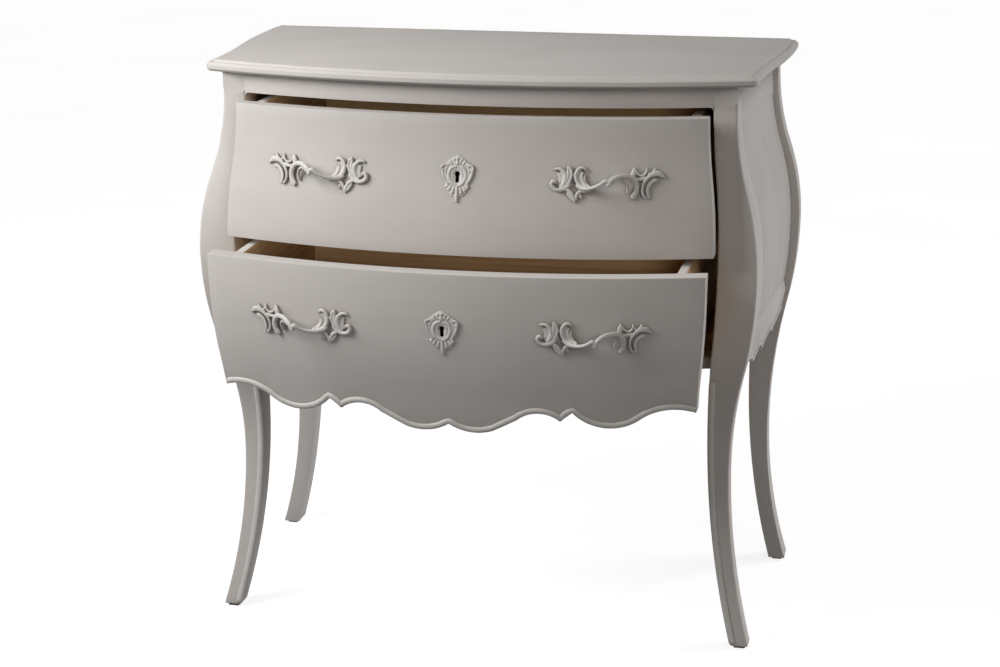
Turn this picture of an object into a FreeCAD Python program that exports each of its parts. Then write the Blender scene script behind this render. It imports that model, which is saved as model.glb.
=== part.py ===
import FreeCAD, Part
import math
import os
import re
import Sketcher

os.makedirs("parts", exist_ok=True)
doc = FreeCAD.newDocument("bombe_chest")
sheet = doc.addObject("Spreadsheet::Sheet", "dims")

# Driving sizes in millimetres, names that end in share or angle have no length
# A drop is measured down from the underside of the top, an inset in from the widest point
SIZES = {
    # Whole chest and top
    "total_height": 830,
    "top_thick": 15.5,
    "top_lip_thick": 12.5,
    "top_step_inset": 10,
    "top_front_half": 389,
    "top_rear_half": 412,
    "top_rear_overhang": 2,
    "top_overhang": 17,
    "top_corner_radius": 12,
    "top_edge_bevel": 3.5,
    "top_step_bevel": 2.5,
    # Swelled and bowed front
    "bow_radius": 1150,
    "front_reach": 206,
    "region_depth": 500,
    "region_angle": 80,
    "neck_drop": 19.5,
    "bulge_drop": 254.5,
    "knee_drop": 564.5,
    "front_bulge": 27,
    "swell_radius": 549,
    "taper_drop": 393.5,
    "swell_share": 0.5,
    # Front posts, side view
    "post_step": 0.3,
    "post_bulge_out": 31,
    "post_tuck": 18,
    "foot_kick": 5,
    "post_deep": 51,
    "foot_deep": 30,
    "leg_drop": 514.5,
    # Front posts, front view
    "post_bulge_half": 398.5,
    "post_neck_inset": 35.5,
    "post_knee_inset": 37,
    "post_foot_inset": 1,
    "post_neck_drop": 24.5,
    "post_bulge_drop": 256.5,
    "post_knee_drop": 552.5,
    "post_neck_wide": 32.5,
    "post_bulge_wide": 54.5,
    "leg_wide": 31.5,
    "foot_wide": 26.5,
    "opening_bulge_drop": 229.5,
    "leg_inner_drop": 504.5,
    # Rear posts
    "rear_bulge_half": 423.5,
    "rear_neck_inset": 38,
    "rear_knee_inset": 39,
    "rear_foot_inset": 5.5,
    "rear_neck_drop": 29.5,
    "rear_bulge_drop": 254.5,
    "rear_knee_drop": 589.5,
    "rear_wide": 31.5,
    "rear_foot_wide": 25,
    "rear_back": 220,
    "rear_deep": 36,
    "rear_swell_share": 0.4,
    # Sides between the posts
    "panel_recess": 9,
    "panel_thick": 10,
    "side_rail_tall": 63.5,
    "side_rail_recess": 7.5,
    "side_rail_thick": 20,
    "apron_drop": 348.5,
    "apron_tall": 48,
    "apron_deep": 25,
    "apron_bevel": 16,
    "apron_recess": 4,
    "apron_thick": 16,
    # Front rails and drawer fronts
    "top_rail_tall": 28.5,
    "opening_corner": 5,
    "rail_set": 4,
    "rail_gap": 1.5,
    "rail_lap": 7.5,
    "middle_rail_thick": 13,
    "bottom_rail_thick": 17,
    "lower_space": 157,
    "front_thick": 22,
    "front_gap": 1.5,
    "front_top_gap": 7.5,
    "front_seam": 5.5,
    "upper_front_tall": 185,
    "lower_front_tall": 193,
    "scallop_deep": 30,
    "upper_open": 41,
    "lower_open": 121,
    # Drawer boxes
    "box_gap": 17.5,
    "box_side_thick": 12,
    "upper_box_gap": 12,
    "lower_box_gap": 4,
    "bottom_thick": 6,
    "bottom_rise": 9,
    "groove_depth": 5,
    "back_drop": 10,
    "slide_gap": 0.3,
    # Back and inner frame
    "back_inset": 15,
    "back_panel_thick": 7,
    "back_rail_thick": 19,
    "back_top_tall": 45.5,
    "back_middle_tall": 26,
    "back_bottom_tall": 27,
    "runner_lap": 24,
    "runner_out": 22,
    "guide_gap": 0.8,
    "guide_tall": 18,
    "guide_set": 20,
    "kicker_thick": 15,
    "kicker_out": 14,
    "stop_wide": 12,
    "stop_deep": 14.7,
    "stop_tall": 22,
    "block_gap": 40,
    "block_long": 60,
    "block_side": 24,
    "glide_inset": 5,
    "glide_thick": 4,
    # Handles and their screws
    "handle_place_share": 0.6025,
    "upper_handle_drop": 88.5,
    "lower_handle_drop": 85,
    "handle_reach": 75,
    "handle_stand": 24,
    "grip_radius": 3.5,
    "grip_outer": 36,
    "grip_outer_lift": 8,
    "grip_inner": 30,
    "grip_inner_drop": 3,
    "plate_proud": 6,
    "plate_gap": 0.5,
    "screw_outer": 46,
    "screw_outer_lift": 9,
    "screw_inner": 46,
    "screw_inner_lift": 5,
    "screw_radius": 2,
    "screw_head_radius": 4.5,
    "screw_head_thick": 3,
    "hole_gap": 0.1,
    "head_gap": 0.65,
    # Keyhole plates
    "cartouche_half": 24,
    "cartouche_proud": 4,
    "keyhole_radius": 3.5,
    "keyhole_slot_half": 2.3,
    "keyhole_long": 11.5,
    "keyhole_deep": 14,
    "upper_keyhole_drop": 76.2,
    "lower_keyhole_drop": 74,
}

# Sizes that follow from the driving ones
DERIVED = {
    "under_top": "total_height - top_thick",
    "top_rear": "rear_back + top_rear_overhang",
    "neck_height": "under_top - neck_drop",
    "bulge_height": "under_top - bulge_drop",
    "knee_height": "under_top - knee_drop",
    "taper_height": "under_top - taper_drop",
    "taper_rise": "sqrt(swell_radius ^ 2 - (taper_drop - bulge_drop) ^ 2)",
    "taper_out": "front_bulge - swell_radius + taper_rise",
    "knee_out": "taper_out - (taper_drop - bulge_drop) / taper_rise * (knee_drop - taper_drop)",
    "bow_axis": "bow_radius - front_reach",
    "post_neck_height": "under_top - post_neck_drop",
    "post_bulge_height": "under_top - post_bulge_drop",
    "post_knee_height": "under_top - post_knee_drop",
    "opening_bulge_height": "under_top - opening_bulge_drop",
    "leg_inner_height": "under_top - leg_inner_drop",
    "leg_start": "under_top - leg_drop",
    "post_neck_half": "post_bulge_half - post_neck_inset",
    "post_knee_half": "post_bulge_half - post_knee_inset",
    "post_foot_half": "post_bulge_half - post_foot_inset",
    "opening_neck_half": "post_neck_half - post_neck_wide",
    "opening_bulge_half": "post_bulge_half - post_bulge_wide",
    "leg_inner_half": "post_knee_half - leg_wide",
    "foot_inner_half": "post_foot_half - foot_wide",
    "post_neck_front": "sqrt(bow_radius ^ 2 - opening_neck_half ^ 2) - bow_axis - post_step",
    "post_bulge_front": "post_neck_front + post_bulge_out",
    "post_knee_front": "post_neck_front - post_tuck",
    "post_foot_front": "post_neck_front + foot_kick",
    "post_back": "post_neck_front - post_deep",
    "foot_back": "post_foot_front - foot_deep",
    "rear_neck_height": "under_top - rear_neck_drop",
    "rear_bulge_height": "under_top - rear_bulge_drop",
    "rear_knee_height": "under_top - rear_knee_drop",
    "rear_neck_half": "rear_bulge_half - rear_neck_inset",
    "rear_knee_half": "rear_bulge_half - rear_knee_inset",
    "rear_foot_half": "rear_bulge_half - rear_foot_inset",
    "rear_inner_half": "rear_neck_half - rear_wide",
    "rear_foot_inner": "rear_foot_half - rear_foot_wide",
    "rear_front": "rear_back - rear_deep",
    "splay": "(rear_neck_half - post_neck_half) / (rear_front + post_neck_front)",
    "side_rail_foot": "under_top - side_rail_tall",
    "side_radius": "(post_knee_drop - post_bulge_drop) ^ 2 / (4 * post_knee_inset) + post_knee_inset / 4",
    "apron_top": "under_top - apron_drop",
    "apron_end": "apron_top - apron_tall",
    "apron_low": "apron_end - 2 * apron_deep",
    "bevel_foot": "apron_top - apron_bevel",
    "apron_middle": "(rear_front - post_back) / 2",
    "apron_half": "(rear_front + post_back) / 2",
    "opening_top": "under_top - top_rail_tall",
    "rail_back": "post_back - rail_set",
    "upper_front_top": "opening_top - front_top_gap",
    "upper_front_bottom": "upper_front_top - upper_front_tall",
    "lower_front_top": "upper_front_bottom - front_seam",
    "scallop_end": "lower_front_top - lower_front_tall",
    "middle_rail_top": "upper_front_bottom + rail_lap",
    "bottom_rail_top": "middle_rail_top - middle_rail_thick - lower_space",
    "back_panel_front": "rear_back - back_inset",
    "back_rail_front": "back_panel_front - back_rail_thick",
    "box_half": "min(opening_neck_half; rear_inner_half) - box_gap",
    "box_inner": "box_half - box_side_thick",
    "box_rear": "back_rail_front - stop_deep - slide_gap",
    "upper_box_top": "opening_top - upper_box_gap",
    "lower_box_top": "middle_rail_top - middle_rail_thick - lower_box_gap",
    "runner_inner": "box_half - runner_lap",
    "runner_outer": "box_half + runner_out",
    "kicker_outer": "box_half + kicker_out",
    "block_outer": "runner_inner - block_gap",
    "handle_centre": "handle_place_share * opening_neck_half",
    "upper_handle_height": "upper_front_top - upper_handle_drop",
    "lower_handle_height": "lower_front_top - lower_handle_drop",
    "upper_keyhole_height": "upper_front_top - upper_keyhole_drop",
    "lower_keyhole_height": "lower_front_top - lower_keyhole_drop",
}

for row, (name, size) in enumerate(SIZES.items(), start=1):
    sheet.set("A%d" % row, name)
    sheet.set("B%d" % row, str(size))
    sheet.setAlias("B%d" % row, name)
doc.recompute()


def bound(text):
    # Sheet names in a formula get the sheet's own name in front, derived names their formula
    def spelled(match):
        word = match.group()
        if word in DERIVED:
            return "(%s)" % bound(DERIVED[word])
        return "dims." + word if word in SIZES else word

    return re.sub(r"[a-z_]+", spelled, text)


def number(text):
    value = sheet.evalExpression(bound(text))
    return float(getattr(value, "Value", value))


def bind(target, prop, text):
    target.setExpression(prop, bound(text))


def place(target, x="0", y="0", z="0", turn=None):
    if turn:
        target.Placement = FreeCAD.Placement(FreeCAD.Vector(0, 0, 0), turn)
    for axis, text in zip("xyz", (x, y, z)):
        if text != "0":
            bind(target, ".Placement.Base." + axis, text)


# Outlines: corner formulas, with lines and arcs between them
class Outline:
    def __init__(self, x, z):
        self.corners = [(x, z)]
        self.edges = []

    def to(self, x, z):
        self.corners.append((x, z))
        self.edges.append(None)
        return self

    def arc(self, x, z, radius, left):
        self.corners.append((x, z))
        self.edges.append((radius, left))
        return self

    def spread(self, x, z):
        last_x, last_z = self.corners[-1]
        return "((%s) - (%s))" % (x, last_x), "((%s) - (%s))" % (z, last_z)

    def bend(self, x, z, bend_share):
        # An arc whose radius is a share of its chord, to the left if positive; a line without one
        if not bend_share:
            return self.to(x, z)
        run, rise = self.spread(x, z)
        return self.arc(x, z, "%f * sqrt(%s ^ 2 + %s ^ 2)" % (abs(bend_share), run, rise), bend_share > 0)

    def upright_radius(self, x, z):
        run, rise = self.spread(x, z)
        return "(%s ^ 2 + %s ^ 2) / (2 * abs(%s))" % (run, rise, run), number(run) * number(rise) < 0

    def swell(self, x, z, share):
        # Two arcs, upright at both ends, that meet on the chord
        last_x, last_z = self.corners[-1]
        run, rise = self.spread(x, z)
        radius, left = self.upright_radius(x, z)
        mid_x = "%s + %s * %s" % (last_x, share, run)
        mid_z = "%s + %s * %s" % (last_z, share, rise)
        self.arc(mid_x, mid_z, "%s * %s" % (share, radius), left)
        return self.arc(x, z, "(1 - %s) * %s" % (share, radius), not left)

    def sweep(self, x, z, upright_start):
        # One arc, upright at its start or at its end
        radius, left = self.upright_radius(x, z)
        return self.arc(x, z, radius, left if upright_start else not left)

    def mirrored(self):
        # The half from the centre line to the centre line gets its other half
        for (x, z), edge in zip(self.corners[-2:0:-1], self.edges[:0:-1]):
            self.corners.append(("-(%s)" % x, z))
            self.edges.append(edge)
        self.edges.append(self.edges[0])
        return self

    def closed(self):
        self.edges.append(None)
        return self


def arc_geometry(first, last, radius, left):
    half = (last - first) * (1 / 2)
    across = FreeCAD.Vector(-half.y, half.x, 0).normalize()
    rise = math.sqrt(max(radius ** 2 - half.Length ** 2, 0))
    centre = first + half + across * (rise if left else -rise)
    start, stop = (first, last) if left else (last, first)
    angles = [math.atan2(spot.y - centre.y, spot.x - centre.x) for spot in (start, stop)]
    circle = Part.Circle(centre, FreeCAD.Vector(0, 0, 1), radius)
    return Part.ArcOfCircle(circle, angles[0], angles[1])


def draw(body, name, plane, outline, is_open=False):
    sketch = body.newObject("Sketcher::SketchObject", name)
    support = [f for f in body.Origin.OriginFeatures if f.Role == plane][0]
    sketch.AttachmentSupport = (support, [""])
    sketch.MapMode = "FlatFace"
    sketch.Visibility = False
    points = [FreeCAD.Vector(number(x), number(z), 0) for x, z in outline.corners]
    shapes = []
    ends = []
    for i, edge in enumerate(outline.edges):
        first = points[i]
        last = points[(i + 1) % len(points)]
        if edge is None:
            shapes.append(Part.LineSegment(first, last))
            ends.append((1, 2))
            continue
        radius, left = edge
        shapes.append(arc_geometry(first, last, number(radius), left))
        ends.append((1, 2) if left else (2, 1))
    sketch.addGeometry(shapes, False)
    joints = len(shapes) - 1 if is_open else len(shapes)
    for i in range(joints):
        following = (i + 1) % len(shapes)
        meeting = (i, ends[i][1], following, ends[following][0])
        sketch.addConstraint(Sketcher.Constraint("Coincident", *meeting))
    for i, (x, z) in enumerate(outline.corners):
        geo, end = (i, ends[i][0]) if i < len(shapes) else (i - 1, ends[i - 1][1])
        for kind, text, axis in (("DistanceX", x, -2), ("DistanceY", z, -1)):
            value = number(text)
            if abs(value) < 1e-9:
                sketch.addConstraint(Sketcher.Constraint("PointOnObject", geo, end, axis))
                continue
            index = sketch.addConstraint(Sketcher.Constraint(kind, -1, 1, geo, end, value))
            bind(sketch, "Constraints[%d]" % index, text)
    for i, edge in enumerate(outline.edges):
        if edge:
            index = sketch.addConstraint(Sketcher.Constraint("Radius", i, number(edge[0])))
            bind(sketch, "Constraints[%d]" % index, edge[0])
    return sketch


def new_body(name):
    return doc.addObject("PartDesign::Body", name)


def pad_on(body, name, sketch, length, lean=None):
    pad = body.newObject("PartDesign::Pad", name)
    pad.Profile = sketch
    bind(pad, "Length", length)
    if lean:
        pad.UseCustomVector = True
        pad.Direction = lean
        pad.AlongSketchNormal = True
    return pad


def slab(name, plane, outline, length, x="0", y="0", z="0", lean=None):
    body = new_body(name)
    pad_on(body, name + "_pad", draw(body, name + "_outline", plane, outline), length, lean)
    place(body, x, y, z)
    return body


def board(name, x_low, x_high, y_low, y_high, z_low, z_high):
    box = doc.addObject("Part::Box", name)
    bind(box, "Length", "(%s) - (%s)" % (x_high, x_low))
    bind(box, "Width", "(%s) - (%s)" % (y_high, y_low))
    bind(box, "Height", "(%s) - (%s)" % (z_high, z_low))
    place(box, x_low, y_low, z_low)
    return box


def common(name, *shapes):
    result = doc.addObject("Part::MultiCommon", name)
    result.Shapes = list(shapes)
    return result


def fused(name, *shapes):
    result = doc.addObject("Part::MultiFuse", name)
    result.Shapes = list(shapes)
    return result


def cut(name, base, tool):
    result = doc.addObject("Part::Cut", name)
    result.Base = base
    result.Tool = tool
    return result


def group(name, shapes):
    result = doc.addObject("Part::Compound", name)
    result.Links = shapes
    return result


NODES = []


def node(shape, label):
    shape.Label = label
    NODES.append(shape)
    return shape


SIDES = (("left", -1), ("right", 1))
EVEN = "swell_share"


def sided(side, text):
    return text if side > 0 else "-(%s)" % text


def across(side, near, far):
    return (near, far) if side > 0 else ("-(%s)" % far, "-(%s)" % near)


# Solid behind the bowed front, set back by a given distance, its face swelled or in straight tapers
def front_region(name, setback, swelled):
    face = "bow_radius - (%s)" % setback
    profile = Outline("bow_radius - region_depth", "under_top")
    profile.to("bow_radius - region_depth", "knee_height")
    profile.to("%s + knee_out" % face, "knee_height")
    profile.to("%s + taper_out" % face, "taper_height")
    if swelled:
        profile.arc("%s + front_bulge" % face, "bulge_height", "swell_radius", True)
        profile.swell(face, "neck_height", EVEN)
    else:
        profile.to("%s + front_bulge" % face, "bulge_height")
        profile.to(face, "neck_height")
    profile.to(face, "under_top").closed()
    body = new_body(name)
    sketch = draw(body, name + "_profile", "XZ_Plane", profile)
    turn = body.newObject("PartDesign::Revolution", name + "_turn")
    turn.Profile = sketch
    turn.ReferenceAxis = (sketch, ["V_Axis"])
    bind(turn, "Angle", "region_angle")
    half_turn = number("region_angle") / 2
    place(body, y="bow_axis", turn=FreeCAD.Rotation(FreeCAD.Vector(0, 0, 1), -90 - half_turn))
    return body


# Front view of the opening between the front posts
def opening_slab(name, inset):
    half = Outline("0", "under_top")
    half.to("opening_neck_half - (%s)" % inset, "under_top")
    half.to("opening_neck_half - (%s)" % inset, "neck_height")
    half.swell("opening_bulge_half - (%s)" % inset, "opening_bulge_height", EVEN)
    half.swell("leg_inner_half - (%s)" % inset, "leg_inner_height", EVEN)
    half.to("0", "leg_inner_height")
    return slab(name, "XZ_Plane", half.mirrored(), "2 * region_depth")


# What lies behind the swelled face, behind the drawer fronts and behind the rail gap
face_region = front_region("face_region", "0", True)
drawer_region = front_region("drawer_region", "front_thick", False)
rail_region = front_region("rail_region", "front_thick + rail_gap", False)
front_shell = cut("front_shell", face_region, drawer_region)
opening = opening_slab("opening", "0")
front_opening = opening_slab("front_opening", "front_gap")


# Top: a bevelled lip with a thin raised field on it, bowed in front and widening to the rear
def top_outline(inset):
    rear_y = "top_rear - (%s)" % inset
    rear_x = "top_rear_half - (%s)" % inset
    front_x = "top_front_half - (%s)" % inset
    bow = "bow_radius + top_overhang - (%s)" % inset
    front_y = "bow_axis - sqrt((%s) ^ 2 - (%s) ^ 2)" % (bow, front_x)
    edge = Outline(rear_x, rear_y).to("-(%s)" % rear_x, rear_y)
    edge.to("-(%s)" % rear_x, "rear_front")
    edge.swell("-(%s)" % front_x, front_y, EVEN)
    edge.arc(front_x, front_y, bow, True)
    edge.swell(rear_x, "rear_front", EVEN)
    return edge.closed()


def sharp_uprights(shape):
    # Upright edges at the two rear corners and the two front corners
    names = []
    for i, edge in enumerate(shape.Edges, start=1):
        end = edge.Vertexes[0].Point
        is_upright = edge.BoundBox.ZLength > shape.BoundBox.ZLength / 2
        at_rear = end.y > number("rear_back")
        at_front = end.y < 0 and abs(end.x) < number("(top_front_half + top_rear_half) / 2")
        at_middle = abs(abs(end.x) - number("top_front_half")) > number("top_corner_radius")
        if is_upright and (at_rear or at_front and not at_middle):
            names.append("Edge%d" % i)
    return names


def flat_faces(shape, is_both):
    # The upper face, or the upper and lower faces
    names = []
    for i, face in enumerate(shape.Faces, start=1):
        is_flat = face.BoundBox.ZLength < shape.BoundBox.ZLength / 2
        if is_flat and (is_both or face.BoundBox.ZMax > shape.BoundBox.Center.z):
            names.append("Face%d" % i)
    return names


def moulded_slab(name, inset, thick, bevel_size, is_rounded):
    # A rounded slab is bevelled above and below, a mitred one above only
    body = new_body(name)
    outline = draw(body, name + "_outline", "XY_Plane", top_outline(inset))
    blank = pad_on(body, name + "_blank", outline, thick)
    doc.recompute()
    if is_rounded:
        corners = body.newObject("PartDesign::Fillet", name + "_corners")
        corners.Base = (blank, sharp_uprights(blank.Shape))
        bind(corners, "Radius", "top_corner_radius")
        blank = corners
        doc.recompute()
    bevel = body.newObject("PartDesign::Chamfer", name + "_bevel")
    bevel.Base = (blank, flat_faces(blank.Shape, is_rounded))
    bind(bevel, "Size", bevel_size)
    return body


top_lip = moulded_slab("top_lip", "0", "top_lip_thick", "top_edge_bevel", True)
place(top_lip, z="under_top")
top_field = moulded_slab("top_field", "top_step_inset", "top_thick - top_lip_thick", "top_step_bevel", False)
place(top_field, z="under_top + top_lip_thick")
node(fused("top", top_lip, top_field), "top_panel")

# Front posts: side view and front view sawn from one blank, down into sabre legs
for hand, side in SIDES:
    front_view = Outline(sided(side, "opening_neck_half"), "under_top")
    front_view.to(sided(side, "opening_neck_half"), "neck_height")
    front_view.swell(sided(side, "opening_bulge_half"), "opening_bulge_height", EVEN)
    front_view.swell(sided(side, "leg_inner_half"), "leg_inner_height", EVEN)
    front_view.sweep(sided(side, "foot_inner_half"), "glide_thick", True)
    front_view.to(sided(side, "post_foot_half"), "glide_thick")
    front_view.sweep(sided(side, "post_knee_half"), "post_knee_height", False)
    front_view.swell(sided(side, "post_bulge_half"), "post_bulge_height", EVEN)
    front_view.swell(sided(side, "post_neck_half"), "post_neck_height", EVEN)
    front_view.to(sided(side, "post_neck_half"), "under_top").closed()
    blank = slab("front_%s_view" % hand, "XZ_Plane", front_view, "region_depth")
    side_view = Outline("-post_back", "under_top")
    side_view.to("-post_neck_front", "under_top")
    side_view.to("-post_neck_front", "neck_height")
    side_view.swell("-post_bulge_front", "bulge_height", EVEN)
    side_view.swell("-post_knee_front", "knee_height", EVEN)
    side_view.sweep("-post_foot_front", "glide_thick", True)
    side_view.to("-foot_back", "glide_thick")
    side_view.sweep("-post_back", "leg_start", False).closed()
    low, high = across(side, "opening_neck_half / 2", "2 * post_bulge_half")
    profile = slab("front_%s_side_view" % hand, "YZ_Plane", side_view, "(%s) - (%s)" % (high, low), x=low)
    node(common("front_%s" % hand, blank, profile), "front_%s_post" % hand)

# Rear posts: flat backed, swelled and swept to the side only
for hand, side in SIDES:
    rear_view = Outline(sided(side, "rear_inner_half"), "under_top")
    rear_view.to(sided(side, "rear_inner_half"), "leg_start")
    rear_view.sweep(sided(side, "rear_foot_inner"), "glide_thick", True)
    rear_view.to(sided(side, "rear_foot_half"), "glide_thick")
    rear_view.sweep(sided(side, "rear_knee_half"), "rear_knee_height", False)
    rear_view.swell(sided(side, "rear_bulge_half"), "rear_bulge_height", "(1 - rear_swell_share)")
    rear_view.swell(sided(side, "rear_neck_half"), "rear_neck_height", EVEN)
    rear_view.to(sided(side, "rear_neck_half"), "under_top").closed()
    post = slab("rear_%s" % hand, "XZ_Plane", rear_view, "rear_deep", y="rear_back")
    node(post, "rear_%s_post" % hand)


# Sides: sections that follow the front post's swell and splay out to the rear
def side_section(side, recess, thick):
    def wall(widest, inset):
        return sided(side, "%s + splay * post_deep - (%s)" % (widest, inset))

    inner = "%s + %s" % (recess, thick)
    section = Outline(wall("post_neck_half", recess), "under_top")
    section.to(wall("post_neck_half", recess), "post_neck_height")
    section.swell(wall("post_bulge_half", recess), "post_bulge_height", EVEN)
    section.swell(wall("post_knee_half", recess), "post_knee_height", EVEN)
    section.to(wall("post_knee_half", inner), "post_knee_height")
    section.swell(wall("post_bulge_half", inner), "post_bulge_height", EVEN)
    section.swell(wall("post_neck_half", inner), "post_neck_height", EVEN)
    return section.to(wall("post_neck_half", inner), "under_top").closed()


def side_strip(name, side, section):
    lean = FreeCAD.Vector(-side * number("splay"), -1, 0)
    shift = "%s * 2 * apron_half" % sided(side, "splay")
    return slab(name, "XZ_Plane", section, "2 * apron_half", x=shift, y="rear_front", lean=lean)


def apron_section(side):
    # A long bevel from the plane of the panel above out to the swelled face, and a flat back
    def wall(height, recess):
        fall = "side_radius - sqrt(side_radius ^ 2 - (post_bulge_height - (%s)) ^ 2)" % height
        return sided(side, "post_bulge_half - (%s) + splay * post_deep - (%s)" % (fall, recess))

    inner = "apron_recess + apron_thick"
    section = Outline(wall("apron_top", "panel_recess"), "apron_top")
    section.to(wall("bevel_foot", "apron_recess"), "bevel_foot")
    section.arc(wall("apron_low", "apron_recess"), "apron_low", "side_radius", side < 0)
    section.to(wall("apron_low", inner), "apron_low")
    return section.to(wall("apron_top", inner), "apron_top").closed()


def side_window(name, low, high):
    return board(name, "-2 * rear_bulge_half", "2 * rear_bulge_half", "-post_back", "rear_front", low, high)


# Scalloped lower edge of a side, from the front post to the rear post
# Each row gives a place along the half width, a drop as a share of the apron's depth and the bend to it
APRON_SHARES = (
    (-0.55, 0.80, -2.21), (-0.36, 0.27, 0), (0, 1, -1.36),
    (0.36, 0.27, -1.36), (0.55, 0.80, 0), (1, 0, -2.21),
)
apron_view = Outline("rear_front", "apron_top").to("-post_back", "apron_top").to("-post_back", "apron_end")
for place_share, drop_share, bend_share in APRON_SHARES:
    spot = ("apron_middle + %f * apron_half" % place_share, "apron_end - %f * apron_deep" % drop_share)
    apron_view.bend(spot[0], spot[1], bend_share)
apron_view.closed()
apron_slab = slab("apron_view", "YZ_Plane", apron_view, "4 * rear_bulge_half", x="-2 * rear_bulge_half")
panel_window = side_window("panel_window", "apron_top", "side_rail_foot")
side_rail_window = side_window("side_rail_window", "side_rail_foot", "under_top")
for hand, side in SIDES:
    panel = side_strip("%s_panel_strip" % hand, side, side_section(side, "panel_recess", "panel_thick"))
    rail_section = side_section(side, "side_rail_recess", "side_rail_thick")
    rail = side_strip("%s_rail_strip" % hand, side, rail_section)
    apron = side_strip("%s_apron_strip" % hand, side, apron_section(side))
    node(common("%s_panel" % hand, panel, panel_window), "%s_side_panel" % hand)
    node(common("%s_rail" % hand, rail, side_rail_window), "%s_side_top_rail" % hand)
    node(common("%s_apron" % hand, apron, apron_slab), "%s_side_apron" % hand)


# Front rails between the posts, bowed in front and flat behind
def rail_window(name, low, high):
    low_x, high_x = "-2 * post_bulge_half", "2 * post_bulge_half"
    return board(name, low_x, high_x, "-region_depth", "-rail_back", low, high)


# The top rail comes down a little at its ends, so that the opening has rounded upper corners
FAR_SIDE = "2 * post_bulge_half"
CORNER_FOOT = "opening_top - opening_corner"
frieze = Outline("0", "under_top").to(FAR_SIDE, "under_top").to(FAR_SIDE, CORNER_FOOT)
frieze.to("opening_neck_half", CORNER_FOOT)
frieze.arc("opening_neck_half - opening_corner", "opening_top", "opening_corner", True)
frieze.to("0", "opening_top")
top_window = slab("top_rail_view", "XZ_Plane", frieze.mirrored(), "region_depth - rail_back", y="-rail_back")
middle_window = rail_window("middle_rail_window", "middle_rail_top - middle_rail_thick", "middle_rail_top")
bottom_window = rail_window("bottom_rail_window", "bottom_rail_top - bottom_rail_thick", "bottom_rail_top")
node(common("top_rail", face_region, opening, top_window), "front_top_rail")
node(common("middle_rail_shape", rail_region, opening, middle_window), "middle_rail")
node(common("bottom_rail", rail_region, opening, bottom_window), "front_bottom_rail")

# Back: a thin panel and three rails between the rear posts
BACK_BOTTOM = "bottom_rail_top - back_bottom_tall"
BACK_PIECES = (
    ("back_top_rail", "back_rail_front", "back_panel_front", "under_top - back_top_tall", "under_top"),
    (
        "back_middle_rail", "back_rail_front", "back_panel_front",
        "middle_rail_top - back_middle_tall", "middle_rail_top",
    ),
    ("back_bottom_rail", "back_rail_front", "back_panel_front", BACK_BOTTOM, "bottom_rail_top"),
    ("back_panel", "back_panel_front", "back_panel_front + back_panel_thick", BACK_BOTTOM, "under_top"),
)
for label, front, rear, low, high in BACK_PIECES:
    node(board(label, "-rear_inner_half", "rear_inner_half", front, rear, low, high), label)

# Inner frame: runners, guides, kickers, stops and glue blocks
guides = []
stops = []
LEVELS = (
    ("upper", "middle_rail_top", "middle_rail_thick"),
    ("lower", "bottom_rail_top", "bottom_rail_thick"),
)
for level, rest, thick in LEVELS:
    for hand, side in SIDES:
        name = "%s_%s_" % (level, hand)
        low, high = across(side, "runner_inner", "runner_outer")
        base = "%s - %s" % (rest, thick)
        runner = board(name + "strip", low, high, "-rail_back", "back_rail_front", base, rest)
        node(runner, name + "runner")
        low, high = across(side, "box_half + guide_gap", "runner_outer")
        end = "%s + guide_tall" % rest
        front = "guide_set - rail_back"
        guides.append(board(name + "guide", low, high, front, "back_rail_front", rest, end))
        low, high = across(side, "box_half - stop_wide", "box_half")
        end = "%s + stop_tall" % rest
        stops.append(board(name + "stop", low, high, "box_rear + slide_gap", "back_rail_front", rest, end))
node(group("guides", guides), "drawer_guides")
node(group("stops", stops), "drawer_stops")
for hand, side in SIDES:
    low, high = across(side, "runner_inner", "kicker_outer")
    end = "opening_top + kicker_thick"
    kicker = board("%s_strip" % hand, low, high, "-rail_back", "back_rail_front", "opening_top", end)
    node(kicker, "%s_kicker" % hand)
blocks = []
BLOCK_ENDS = (("-rail_back", "block_side - rail_back"), ("back_rail_front - block_side", "back_rail_front"))
for hand, side in SIDES:
    for front, rear in BLOCK_ENDS:
        low, high = across(side, "block_outer - block_long", "block_outer")
        name = "%s_block_%d" % (hand, len(blocks))
        blocks.append(board(name, low, high, front, rear, "under_top - block_side", "under_top"))
node(group("blocks", blocks), "top_blocks")

# Glides under the four feet
glides = []
FEET = (
    ("foot_inner_half", "post_foot_half", "-post_foot_front", "-foot_back"),
    ("rear_foot_inner", "rear_foot_half", "rear_front", "rear_back"),
)
for hand, side in SIDES:
    for inner, outer, front, rear in FEET:
        low, high = across(side, inner + " + glide_inset", outer + " - glide_inset")
        edges = (front + " + glide_inset", rear + " - glide_inset")
        name = "%s_glide_%d" % (hand, len(glides))
        glides.append(board(name, low, high, edges[0], edges[1], "0", "glide_thick"))
node(group("glides", glides), "foot_glides")


# How far the front's face stands out at a given height, and how it leans there
def swell_at(height):
    bulge = number("front_bulge")
    from_bulge = abs(height - number("bulge_height"))
    above = height > number("bulge_height")
    span = number("bulge_drop - neck_drop" if above else "taper_drop - bulge_drop")
    radius = number("swell_radius")
    if above:
        radius = (bulge ** 2 + span ** 2) / (2 * bulge) * number("swell_share")
        span = span * number("swell_share")
    if from_bulge < span:
        out = bulge - radius + math.sqrt(radius ** 2 - from_bulge ** 2)
        lean = math.asin(from_bulge / radius)
    elif above:
        from_neck = number("neck_height") - height
        out = radius - math.sqrt(radius ** 2 - from_neck ** 2)
        lean = math.asin(from_neck / radius)
    else:
        lean = math.asin(span / radius)
        out = number("taper_out") - math.tan(lean) * (from_bulge - span)
    return out, math.degrees(-lean if above else lean)


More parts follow.
